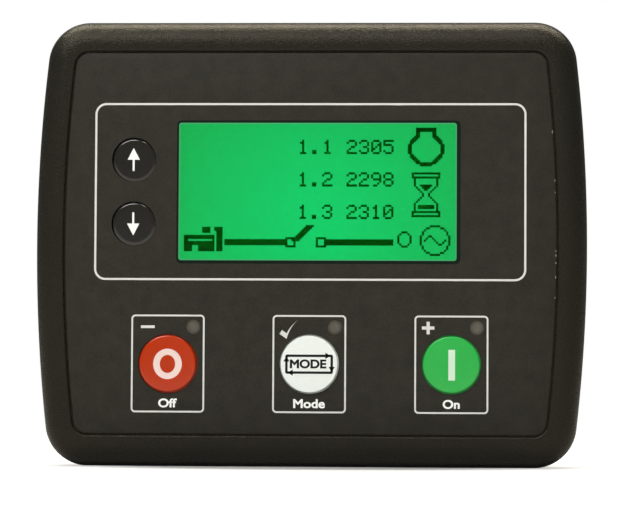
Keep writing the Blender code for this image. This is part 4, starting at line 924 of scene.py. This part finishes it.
@dataclass
class Display:
    """The lit display glass with its matrix of dots, 132 across and 64 down.

    A picture on it is an array of the dots that are driven. Each shape sets the dots whose
    middles lie in it, with columns counted from the left and rows from the top. A driven dot
    looks a little larger than its place, so that neighbours run together.
    """

    left: float = -0.03275
    top: float = 0.03005
    pitch: float = 0.0005165
    dot: float = 0.00057
    columns: int = 132
    rows: int = 64
    readings: tuple[tuple[str, int], ...] = (("1.1 2305", 7), ("1.2 2298", 23), ("1.3 2310", 39))
    text_column: int = 57

    def __post_init__(self) -> None:
        """Start with no dots driven."""
        self.driven = np.zeros((self.rows, self.columns), dtype=bool)
        self.row, self.column = np.mgrid[0 : self.rows, 0 : self.columns] + 0.5

    def block(self, left: float, right: float, top: float, bottom: float, on: bool = True) -> None:
        """Drive or clear the dots of a rectangle."""
        inside = (self.column > left) & (self.column < right) & (self.row > top) & (self.row < bottom)
        self.driven[inside] = on

    def ring(self, centre: Pair, radii: Pair, line: float) -> None:
        """Drive the dots of an elliptical ring.

        A dot is in the ring where the square root of ((column - centre) / radius) squared plus
        ((row - centre) / radius) squared lies within half a line of 1, as a share of the radius.

        Args:
            centre: the column and row of its middle.
            radii: its radii across and down.
            line: its line's width.
        """
        across = (self.column - centre[0]) / radii[0]
        down = (self.row - centre[1]) / radii[1]
        self.driven[np.abs(np.hypot(across, down) - 1) * min(radii) < line / 2] = True

    def stroke(self, start: Pair, end: Pair) -> None:
        """Drive the dots nearer to a straight stroke than half a dot.

        The distance to the stroke is the distance to its nearest point, whose share of the way
        from start to end is the dot product with the stroke over its length squared, held to 0..1.

        Args:
            start: the column and row of one end.
            end: those of the other end.
        """
        step = np.array(end) - np.array(start)
        away = np.stack([self.column - start[0], self.row - start[1]])
        share = np.clip((away[0] * step[0] + away[1] * step[1]) / (step @ step), 0, 1)
        self.driven[np.hypot(away[0] - share * step[0], away[1] - share * step[1]) < 0.5] = True

    def write(self, text: str, row: int) -> None:
        """Drive the dots of a row of characters, one every six columns."""
        for number, letter in enumerate(text):
            start = self.text_column + 6 * number
            pattern = [[dot == "1" for dot in line] for line in DOT_FONT[letter].split()]
            self.driven[row : row + 7, start : start + 5] |= np.array(pattern)

    def draw(self) -> None:
        """Draw the readings and the plain signs round them."""
        for text, row in self.readings:
            self.write(text, row)
        self.draw_vessel()
        self.draw_hourglass()
        self.draw_supply()
        self.draw_line()
        self.draw_set()

    def draw_vessel(self) -> None:
        """Draw the round body with an open neck and a flat lid."""
        self.ring((120.0, 11.5), (8.0, 7.5), 2.0)
        self.block(115, 125, 0, 6, on=False)
        self.block(115, 125, 1, 3)
        self.block(115, 117, 1, 6)
        self.block(123, 125, 1, 6)

    def draw_hourglass(self) -> None:
        """Draw the glass, its two ends and the sand."""
        for top in (23, 42):
            self.block(113, 127, top, top + 3)
            self.block(114, 126, top + 1, top + 2, on=False)
        for side in (-1, 1):
            edge, waist = 120 + side * 5.5, 120 + side * 1.5
            bends = [(edge, 26.5), (edge, 29.5), (waist, 33.5), (waist, 34.5), (edge, 38.5), (edge, 41.5)]
            for start, end in zip(bends, bends[1:]):
                self.stroke(start, end)
        for step in range(3):
            self.block(117 + step, 123 - step, 29 + step, 30 + step)
        self.block(116, 124, 39, 41)

    def draw_supply(self) -> None:
        """Draw one cycle of a sine wave, ten columns long, in a circle, and the small ring beside it."""
        self.ring((124.5, 56.5), (7.0, 7.0), 1.1)
        self.ring((109.5, 56.0), (3.0, 3.5), 1.05)
        wave = 56.5 - 2.35 * np.sin((self.column - 119.5) * 2 * math.pi / 10)
        self.driven[(np.abs(self.row - wave) < 0.5) & (np.abs(self.column - 124.5) < 5.4)] = True

    def draw_line(self) -> None:
        """Draw the supply line with its open switch."""
        self.block(21, 51, 56, 59)
        self.block(70, 104, 56, 59)
        for left in (51, 66):
            self.block(left, left + 5, 55, 60)
            self.block(left + 1, left + 4, 56, 59, on=False)
        blade = np.abs(self.column + self.row - 112.5) < 2.1
        self.driven[blade & (self.row > 49) & (self.row < 57)] = True

    def draw_set(self) -> None:
        """Draw the generating set: body, foot, radiator and tank."""
        self.block(1, 16, 54, 62)
        self.block(3, 15, 56, 57, on=False)
        self.block(5, 8, 59, 62, on=False)
        self.block(10, 14, 50, 53)
        self.block(17, 20, 50, 62)
        self.block(16, 18, 50, 52)

    def build(self) -> None:
        """Make the glass and lay the driven dots on it, as boxes of one size."""
        low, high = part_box("lcd_glass")
        place = plan("lcd_glass")
        full = place.outline(0, 0.0003, 3)
        small = place.middle + (full - place.middle) * 0.997
        glass = new_piece(
            "display_glass", *loft(stacked([(low[1], small), (low[1] + 0.0001, full), (high[1], full)]))
        )
        hold(glass, DISPLAY_GLOW, Body.HOUSING, "lcd_glass", "display_green")
        self.draw()
        rows, columns = np.nonzero(self.driven)
        square = np.array([(0, -1), (1, -1), (1, 0), (0, 0)]) * self.dot
        corners, box = prism(square, low[1] - 0.00003, low[1] + 0.00001)
        margin = (self.pitch - self.dot) / 2
        x, z = self.left + columns * self.pitch + margin, self.top - rows * self.pitch - margin
        vertices = (np.column_stack([x, 0 * x, z])[:, None, :] + corners[None]).reshape(-1, 3)
        faces = (np.arange(len(rows))[:, None, None] * len(corners) + np.array(box)[None]).reshape(-1, 4)
        hold(new_piece("display_dots", vertices, faces.tolist()), DISPLAY_DOT)


def leaning(vertices: np.ndarray, size: KeySize, lean: Pair) -> np.ndarray:
    """Return how much deeper points get: a lean (per metre) times their way from a key's middle."""
    return (vertices[:, [0, 2]] - size.middle) @ np.array(lean)


@dataclass
class KeyCap:
    """One round key: a flat face, a rounded crest, a groove round it, a flange and a hollow back.

    A loose key hangs a little in its hole: the sag is how far its crown is from the middle (x, z),
    and the lean is how much deeper its face gets to the right and upwards, per metre. The draft
    is how much smaller in radius the crown is at the groove's floor than at its crest.
    """

    size: KeySize
    finish: Finish
    slot: str
    crest: float
    drop: float
    groove: float
    face: float
    sag: Pair = (0.0, 0.0)
    lean: Pair = (0.0, 0.0)
    bottom: float = -0.0073
    draft: float = 0.00012
    flange_front: float = -0.0055
    flange_back: float = -0.0049
    hollow: float = -0.0072
    wall: float = 0.0014
    stem: float = 0.0017
    sides: int = 96

    def build(self) -> None:
        """Turn the cap and dress it.

        The crest is a quarter of an ellipse: at the angle a its radius grows with sin a and its
        depth with one less cos a.
        """
        size, bottom = self.size, self.bottom
        radius, outside, inside = size.radius, size.radius + size.flange, size.radius - self.wall
        flat = radius - self.groove - self.crest
        angle = np.linspace(0, QUARTER, 9)
        crest = [flat + self.crest * np.sin(angle), self.face + self.drop * (1 - np.cos(angle))]
        crown = [(flat * 0.5, self.face), *np.column_stack(crest).tolist()]
        crown.append((radius - self.groove - self.draft, bottom))
        skirt = [
            (radius - 0.00002, bottom), (radius, bottom + 0.00003), (radius, self.flange_front),
            (outside, self.flange_front), (outside, self.flange_back), (inside, self.flange_back),
            (inside, self.hollow), (self.stem, self.hollow), (self.stem, self.flange_back),
        ]
        vertices, faces = turned(crown + skirt, self.sides, size.middle)
        vertices[: len(crown) * self.sides, [0, 2]] += self.sag
        share = np.repeat([1.0, *np.cos(angle)], self.sides)
        vertices[: len(share), 1] += share * leaning(vertices[: len(share)], size, self.lean)
        cap = new_piece("cap_" + size.name, vertices, faces)
        hold(cap, self.finish, size.body, "button_" + size.name, self.slot)


@dataclass
class KeySet:
    """The five keys and the signs printed on them."""

    face: float = -0.00917
    low_face: float = -0.00882
    sag: Pair = (0.0001, -0.0001)
    lean: Pair = (0.008, -0.02)
    groove: float = 0.00036
    arrow: tuple[Pair, ...] = (
        (-0.25, -2.85), (0.25, -2.85), (0.25, 0.0), (1.56, 0.0), (0.0, 3.0), (-1.56, 0.0), (-0.25, 0.0)
    )
    arrow_shift: Pair = (-0.00015, 0.00005)
    nought_outside: Pair = (0.00363, 0.00384)
    nought_inside: Pair = (0.00195, 0.00228)
    nought_drop: Pair = (0.0, -0.0001)
    bar_half: Pair = (0.00084, 0.00386)
    bar_shift: Pair = (0.0001, -0.0001)
    loop_half: Pair = (0.00572, 0.00212)
    loop_line: float = 0.00031
    loop_head: tuple[Pair, ...] = ((-0.62, -0.78), (0.72, 0.0), (-0.62, 0.78))

    def build(self) -> None:
        """Make the caps and print on them."""
        up, down, stop, auto, start = KEYS
        for key in ARROW_KEYS:
            sizes = 0.0009, 0.00022, 0.00015, self.low_face
            KeyCap(key, DARK_KEY, "key_dark", *sizes, self.sag, self.lean).build()
        KeyCap(stop, RED_KEY, "key_red", 0.00062, 0.00032, self.groove, self.face).build()
        KeyCap(auto, WHITE_KEY, "key_white", 0.00016, 0.00008, self.groove, self.face).build()
        KeyCap(start, GREEN_KEY, "key_green", 0.00062, 0.00032, self.groove, self.face).build()
        self.print_arrow(up, 1)
        self.print_arrow(down, -1)
        unit, middle = circle(1.0, 64), stop.middle + self.nought_drop
        nought = inked(self.face, middle + unit * self.nought_outside, middle + unit * self.nought_inside)
        lay("sign_stop", [nought], PALE_RED_INK, stop.body)
        bar = start.middle + self.bar_shift + rounded(*self.bar_half, 0.00005, corner_steps=2)
        lay("sign_start", [inked(self.face, bar)], PALE_GREEN_INK, start.body)
        lay("sign_auto", self.loop(auto), BLACK_INK, auto.body)

    def print_arrow(self, size: KeySize, side: int) -> None:
        """Print a straight arrow on a leaning key.

        Args:
            size: the key.
            side: 1 for an arrow that points up and -1 for one that points down.
        """
        points = np.array(self.arrow) * side * MM
        vertices, faces = inked(self.low_face, size.middle + self.arrow_shift + points)
        vertices[:, 1] += leaning(vertices, size, self.lean)
        lay("sign_" + size.name, [(vertices, faces)], BRIGHT_INK, size.body)

    def loop(self, size: KeySize) -> list[Shape]:
        """Draw four arrows that chase each other round a word.

        Args:
            size: the key.

        Returns:
            The bodies of the line, the four heads and the word.
        """
        middle = size.middle - (0, 0.00002)
        half_x, half_z = self.loop_half
        line = self.loop_line
        outer = middle + rounded(half_x + line, half_z + line, 0.0005, corner_steps=6)
        inner = middle + rounded(half_x - line, half_z - line, 0.00012, corner_steps=6)
        shapes = [inked(self.face, outer, inner)]
        head, turn = np.array(self.loop_head) * MM, np.array([(0, -1), (1, 0)])
        reach_x, reach_z = half_x - 0.0010, half_z - 0.00085
        places = [(reach_x, half_z), (half_x, -reach_z), (-reach_x, -half_z), (-half_x, reach_z)]
        for quarter, place in enumerate(places):
            spun = head @ np.linalg.matrix_power(turn, quarter)
            shapes.append(inked(self.face, middle + spun + place))
        foot = (size.x - 0.00025, size.z - 0.0011)
        return shapes + [lettering("MODE", foot, 0.0023, 0.0092, self.face, 0.042)]


@dataclass
class LightPipe:
    """A light pipe: a rod with a faintly domed end, a flange and a thinner tail."""

    radius: float = 0.0018
    flange: float = 0.00055
    tail: float = 0.0015
    front: float = -0.0085
    flange_front: float = -0.0055
    flange_back: float = -0.0049

    def build(self, name: str) -> None:
        """Make one light pipe, whose end falls back with the fourth power of the way out.

        Args:
            name: the key that it stands beside.
        """
        middle, end = plan("light_pipe_" + name).middle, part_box("light_pipe_" + name)[1][1]
        share = np.linspace(0.05, 1, 12)
        dome = np.column_stack([self.radius * share, self.front - 0.00006 + 0.00012 * share**4])
        outside = self.radius + self.flange
        rows = dome.tolist() + [
            (self.radius, self.flange_front), (outside, self.flange_front), (outside, self.flange_back),
            (self.tail, self.flange_back), (self.tail, end),
        ]
        vertices, faces = turned(rows, 48, middle)
        rod = new_piece("pilot_" + name, vertices, faces)
        reach = np.hypot(*(vertices[:, [0, 2]] - middle).T) / self.radius
        rod.data.attributes.new("reach", "FLOAT", "POINT").data.foreach_set("value", reach)
        hold(rod, SMOKED_ACRYLIC, Body.HOUSING, "light_pipe_" + name, "light_pipe_smoked")


@dataclass
class Seal:
    """The foam strip in the bezel's back, with rounded edges."""

    inner: Sizes = (0.0602, 0.0472, 0.0032)
    outer: Sizes = (0.0636, 0.0506, 0.0066)
    thickness: float = 0.0012
    edge: float = 0.00025
    rounding: tuple[Pair, ...] = ((0.0, 1.0), (0.3, 0.3), (1.0, 0.0))

    def build(self) -> None:
        """Carry a soft-edged section round the cut-out."""
        near = [(self.edge * rise - self.thickness, self.edge * inset) for rise, inset in self.rounding]
        far = [(-self.edge * rise, self.edge * inset) for rise, inset in self.rounding[::-1]]
        rows = [(depth, np.array(self.outer) - inset) for depth, inset in near + far]
        rows += [(depth, np.array(self.inner) + inset) for depth, inset in (near + far)[::-1]]
        rings = stacked([(depth, rounded(*sizes, STRAIGHT, 12)) for depth, sizes in rows])
        strip = new_piece("foam_seal", *loft(rings, closed=True))
        hold(strip, FOAM_RUBBER, Body.HOUSING, "panel_gasket", "gasket_foam")


def eased_copy(node: str, name: str, width: float) -> bpy.types.Object:
    """Copy a CAD node with its loose triangles merged and its edges rounded.

    Args:
        node: the CAD node.
        name: the copy's name.
        width: the edges' rounding.

    Returns:
        The copy.
    """
    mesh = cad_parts[node].data.copy()
    mesh.materials.clear()
    merge(mesh, 0.000002, 0.6)
    piece = linked(name, mesh)
    bevel = piece.modifiers.new("edges", "BEVEL")
    bevel.width = width
    bevel.segments = 2
    bevel.limit_method = "ANGLE"
    bevel.angle_limit = math.radians(35)
    bevel.use_clamp_overlap = True
    result = evaluated(piece)
    piece.modifiers.clear()
    piece.data = result
    smooth(result, 30)
    return piece


@dataclass
class Back:
    """The rear housing, its snap catches, and the data socket."""

    catch_pitch: float = 0.0380
    catch_half: float = 0.0032
    catch_root: float = 0.04205
    catch_rows: tuple[Pair, ...] = ((0.0020, 0.04425), (0.0046, 0.04325))

    def build(self) -> None:
        """Make what shows behind the panel, apart from the terminals."""
        for node, name, edge, finish, slot in (
            ("rear_housing", "housing_shell", 0.00022, HOUSING_ABS, "housing_moulding"),
            ("usb_shell", "socket_shell", 0.00012, PLATED_STEEL, "sheet_steel"),
            ("usb_insert", "socket_insert", 0.0001, BLACK_NYLON, "switch_black"),
        ):
            hold(eased_copy(node, name, edge), finish, Body.HOUSING, node, slot)
        catches = [self.catch(step * self.catch_pitch, side) for side in (1, -1) for step in (-1, 0, 1)]
        lay("bezel_catches", catches, BEZEL_ABS)

    def catch(self, x: float, side: int) -> Shape:
        """Make one wedge, high at its front and low at its back.

        Args:
            x: its place to the right.
            side: 1 for a catch on top and -1 for one below.

        Returns:
            Vertices and faces.
        """
        rows = []
        for depth, top in self.catch_rows:
            block = rounded(self.catch_half, (top - self.catch_root) / 2, 0.00015, corner_steps=2)
            rows.append((depth, block + (x, side * (top + self.catch_root) / 2)))
        return loft(stacked(rows))


@dataclass
class Terminals:
    """The pluggable terminals: headers, plugs, clamp screws and wire clamps.

    Rows hold each header's letter, its ways and their pitch. A side is 1 for a plug on top and -1
    for one below, and a face is the height of a plug's outer face.
    """

    rows: tuple[tuple[str, int, float], ...] = (
        ("a", 10, 0.00508), ("b", 9, 0.00508), ("c", 4, 0.00762), ("d", 4, 0.00762), ("e", 5, 0.00508)
    )
    screw_radius: float = 0.0015
    screw_rise: float = 0.0007
    slot_half: float = 0.0003
    slot_depth: float = 0.0004
    sink: float = 0.0010
    screw_back: float = 0.0052
    entry_offset: float = 0.0016
    clamp_half: Pair = (0.00146, 0.00166)
    clamp_wall: float = 0.0004
    clamp_sink: float = 0.0014
    clamp_length: float = 0.0050
    seam_half: float = 0.00016
    seam_depth: float = 0.0004
    seam_length: float = 0.0070

    def build(self) -> None:
        """Make every header and plug with its metal parts."""
        for letter, ways, pitch in self.rows:
            header = eased_copy("header_" + letter, "strip_" + letter, 0.00012)
            hold(header, TERMINAL_NYLON, Body.HOUSING, "header_" + letter, "terminal_green")
            low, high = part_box("plug_" + letter)
            centre_x, centre_z = plan("plug_" + letter).middle
            side, face = (1, high[2]) if centre_z > 0 else (-1, low[2])
            places = centre_x + (np.arange(ways) - (ways - 1) / 2) * pitch
            seams = (places[1:] + places[:-1]) / 2
            block = eased_copy("plug_" + letter, "terminal_" + letter, 0.00016)
            cut(block, [self.seam(x, high[1], face, side, high[2] - low[2]) for x in seams])
            hold(block, TERMINAL_NYLON, Body.HOUSING, "plug_" + letter, "terminal_green")
            screws = [self.screw(x, high[1] - self.screw_back, face, side) for x in places]
            lay("clamp_screws_" + letter, sum(screws, []), PLATED_STEEL)
            entry_z = centre_z - side * self.entry_offset
            lay("wire_clamps_" + letter, [self.clamp(x, entry_z, high[1]) for x in places], PLATED_STEEL)

    def seam(self, x: float, back: float, face: float, side: int, height: float) -> Shape:
        """Make the cutter of the groove between two ways, over the outer face and down the back.

        Its section is an L whose arms lie along the two faces.

        Args:
            x: the groove's place to the right.
            back: the depth of the plug's back.
            face: the height of the plug's outer face.
            side: 1 or -1, which side the plug is on.
            height: the plug's height.

        Returns:
            Vertices and faces.
        """
        inner_y, inner_z, end = back - self.seam_depth, height - self.seam_depth, back - self.seam_length
        y, z = np.array([
            (back + MM, -MM), (inner_y, -MM), (inner_y, inner_z), (end, inner_z), (end, height + MM),
            (back + MM, height + MM),
        ]).T
        z = face + side * (z - height)
        halves = (-self.seam_half, self.seam_half)
        vertices, faces = loft(np.stack([np.column_stack([0 * y + x + half, y, z]) for half in halves]))
        return vertices, faces if side > 0 else [corners[::-1] for corners in faces]

    def screw(self, x: float, y: float, face: float, side: int) -> list[Shape]:
        """Make a slotted screw head that lies in its well, as a disc and two half-round lands.

        Args:
            x: the screw's place to the right.
            y: its depth.
            face: the height of the plug's outer face.
            side: 1 or -1, which side the plug is on.

        Returns:
            The bodies of the head.
        """
        floor = face - side * self.sink
        top = floor + side * self.screw_rise
        slot = top - side * self.slot_depth
        disc = circle(self.screw_radius, 16)
        lean = math.asin(self.slot_half / self.screw_radius)
        angle = np.linspace(lean, math.pi - lean, 9)
        land = self.screw_radius * np.column_stack([np.cos(angle), np.sin(angle)])
        crown = land * 0.9
        crown[[0, -1], 1] = self.slot_half
        shapes = [self.upright([(disc, floor - side * 0.0003), (disc, slot)], x, y, side)]
        for turn in (1, -1):
            levels = [(land * turn, slot), (land * turn, top - side * 0.00015), (crown * turn, top)]
            shapes.append(self.upright(levels, x, y, side))
        return shapes

    def upright(self, levels: list, x: float, y: float, side: int) -> Shape:
        """Make a body along Z.

        Args:
            levels: outlines (x, y) and their heights, from the plug's inside outwards.
            x: its place to the right.
            y: its depth.
            side: 1 or -1, which side the plug is on.

        Returns:
            Vertices and faces.
        """
        rings = [np.column_stack([points + (x, y), np.full(len(points), z)]) for points, z in levels]
        vertices, faces = loft(np.stack(rings))
        return vertices, [corners[::-1] for corners in faces] if side > 0 else faces

    def clamp(self, x: float, z: float, back: float) -> Shape:
        """Make the square cage that grips a wire, sunk in its entry.

        Args:
            x: the cage's place to the right.
            z: its height.
            back: the depth of the plug's back.

        Returns:
            Vertices and faces.
        """
        half, end = np.array(self.clamp_half), back - self.clamp_sink
        outer = rounded(*half, 0.0002, corner_steps=2) + (x, z)
        inner = rounded(*(half - self.clamp_wall), 0.0001, corner_steps=2) + (x, z)
        return ring_plate(outer, inner, end - self.clamp_length, end)


def dress_inside() -> None:
    """Give every CAD node that still shows its finish, by how its name starts."""
    finishes = {
        ("lcd_frame", "board_screw_"): PLATED_STEEL,
        ("backlight_panel", "led_"): LAMP_CERAMIC,
        ("plunger_", "switch_", "board_link_"): BLACK_NYLON,
        ("display_board", "main_board"): BOARD_LAMINATE,
        ("board_spacer_",): TURNED_BRASS,
        ("processor_chip",): CHIP_EPOXY,
        ("supply_capacitor_",): SLEEVE_VINYL,
        ("supply_inductor",): FERRITE,
        ("current_transformer_",): TRANSFORMER_CASE,
    }
    for name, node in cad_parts.items():
        for starts, finish in finishes.items():
            if name.startswith(starts):
                node.data.materials.clear()
                node.data.materials.append(finish.build())
                log.info("%s: %s", name, finish.name)


@dataclass
class Studio:
    """The floor, the white surroundings, the soft lamps and the camera."""

    floor: float = -0.0565
    floor_half: float = 4.0
    camera_distance: float = 0.810
    azimuth: float = 3.0
    elevation: float = -3.0
    roll: float = 0.31
    lens: float = 183.65
    sideways: float = -0.00096
    drop: float = -0.0197
    room_glow: float = 0.01
    back_glow: float = 0.15
    ambient: float = 0.07

    def build(self) -> None:
        """Set up everything that isn't part of the object."""
        self.lay_floor()
        self.light_world()
        overhead = self.lamp("overhead", (0.0, 0.21, 0.70), (1.1, 0.20), 9.5)
        overhead.data.color = (1.0, 0.92, 0.74)
        self.lamp("key_left", (-0.44, -0.62, 0.85), (0.88, 0.32), 8.9)
        self.lamp("key_right", (0.26, -0.62, 0.88), (0.20, 0.28), 1.8)
        fill = self.lamp("fill", (0.15, -1.40, -0.02), (0.80, 0.80), 11.6)
        fill.visible_glossy = False
        fill.visible_transmission = False
        self.place_camera()
        bpy.context.scene.view_settings.view_transform = "Standard"

    def lay_floor(self) -> None:
        """Make a pale floor that looks white further out and keeps the object's shadow."""
        corners = np.array([(-1, -1), (1, -1), (1, 1), (-1, 1)]) * self.floor_half
        floor = new_piece("floor", np.column_stack([corners, np.full(4, self.floor)]), [[0, 1, 2, 3]])
        material = bpy.data.materials.new("matt_paper_white")
        material.use_nodes = True
        tree = material.node_tree
        paper = {"Base Color": linear("BCBCBC"), "Roughness": 0.9, "Specular IOR Level": 0.0}
        shader = adjust(tree.nodes["Principled BSDF"], paper, {}).outputs["BSDF"]
        place = add_node(tree, "TexCoord", {}, {}, "Object")
        scale = {"operation": "MULTIPLY", 1: (11.5, 11.5, 0.0)}
        squeezed = add_node(tree, "VectorMath", scale, {0: place})
        reach = add_node(tree, "VectorMath", {"operation": "LENGTH"}, {0: squeezed}, "Value")
        fade = add_node(tree, "MapRange", {"From Min": 0.45, "From Max": 1.15}, {"Value": reach})
        seen = add_node(tree, "LightPath", {}, {}, "Is Camera Ray")
        lift = add_node(tree, "Math", {"operation": "MULTIPLY"}, {0: seen, 1: fade})
        glow = add_node(tree, "Emission", {"Color": (1.0, 1.0, 1.0, 1.0)}, {"Strength": lift})
        both = add_node(tree, "AddShader", {}, {0: shader, 1: glow})
        adjust(tree.nodes["Material Output"], {}, {"Surface": both})
        floor.data.materials.append(material)

    def light_world(self) -> None:
        """Surround the object with white, and with a dim room as a mirror sees it in front.

        What a glossy surface mirrors goes from the room's glow in front to white behind, by the
        Y part of the direction.
        """
        world = bpy.data.worlds.new("white_surroundings")
        world.use_nodes = True
        tree = world.node_tree
        direction = add_node(tree, "TexCoord", {}, {}, "Generated")
        y = add_node(tree, "SeparateXYZ", {}, {"Vector": direction}, "Y")
        room = {"From Min": 0.1, "From Max": 0.8, "To Min": self.room_glow, "To Max": self.back_glow}
        mirrored = add_node(tree, "MapRange", room, {"Value": y})
        seen = add_node(tree, "LightPath", {}, {}, "Is Camera Ray")
        path = seen.node.outputs
        rays = {0: path["Is Glossy Ray"], 1: path["Is Transmission Ray"]}
        bent = add_node(tree, "Math", {"operation": "ADD", "use_clamp": True}, rays)
        unseen = add_node(tree, "MapRange", {"To Min": self.ambient}, {"Value": bent, "To Max": mirrored})
        strength = add_node(tree, "MapRange", {"To Max": 1.0}, {"Value": seen, "To Min": unseen})
        adjust(tree.nodes["Background"], {"Color": (1.0, 1.0, 1.0, 1.0)}, {"Strength": strength})
        bpy.context.scene.world = world

    def lamp(self, name: str, place: Sizes, size: Pair, power: float) -> bpy.types.Object:
        """Hang a soft lamp that faces the object.

        Args:
            name: the lamp's name.
            place: its position.
            size: its width and height.
            power: its power in watts.

        Returns:
            The lamp.
        """
        data = bpy.data.lights.new(name, "AREA")
        data.shape = "RECTANGLE"
        data.size, data.size_y = size
        data.energy = power
        item = linked(name, data)
        item.location = Vector(place)
        item.rotation_euler = (-Vector(place)).to_track_quat("-Z", "Y").to_euler()
        item.visible_camera = False
        return item

    def place_camera(self) -> None:
        """Put the camera where the photograph was taken from, a little right of and below the middle."""
        turn, rise = math.radians(self.azimuth), math.radians(self.elevation)
        outward = Vector((math.sin(turn) * math.cos(rise), -math.cos(turn) * math.cos(rise), math.sin(rise)))
        look = outward.to_track_quat("Z", "Y").to_matrix().to_4x4()
        data = bpy.data.cameras.new("camera")
        data.sensor_width = 36.0
        data.lens = self.lens
        data.shift_x = self.sideways
        data.shift_y = self.drop
        data.clip_start = 0.01
        camera = linked("camera", data)
        place = Matrix.Translation(outward * self.camera_distance)
        camera.matrix_world = place @ look @ Matrix.Rotation(math.radians(self.roll), 4, "Z")
        bpy.context.scene.camera = camera


def main() -> None:
    """Build the controller, the studio and the camera."""
    logging.basicConfig(level=logging.INFO, format="%(message)s")
    bezel = FrontBezel()
    bezel.build()
    PrintedLabel(bezel).build()
    Window().build()
    Display().build()
    KeySet().build()
    for key in LARGE_KEYS:
        LightPipe().build(key.name)
    Seal().build()
    Back().build()
    Terminals().build()
    dress_inside()
    Studio().build()


if __name__ == "__main__":
    main()
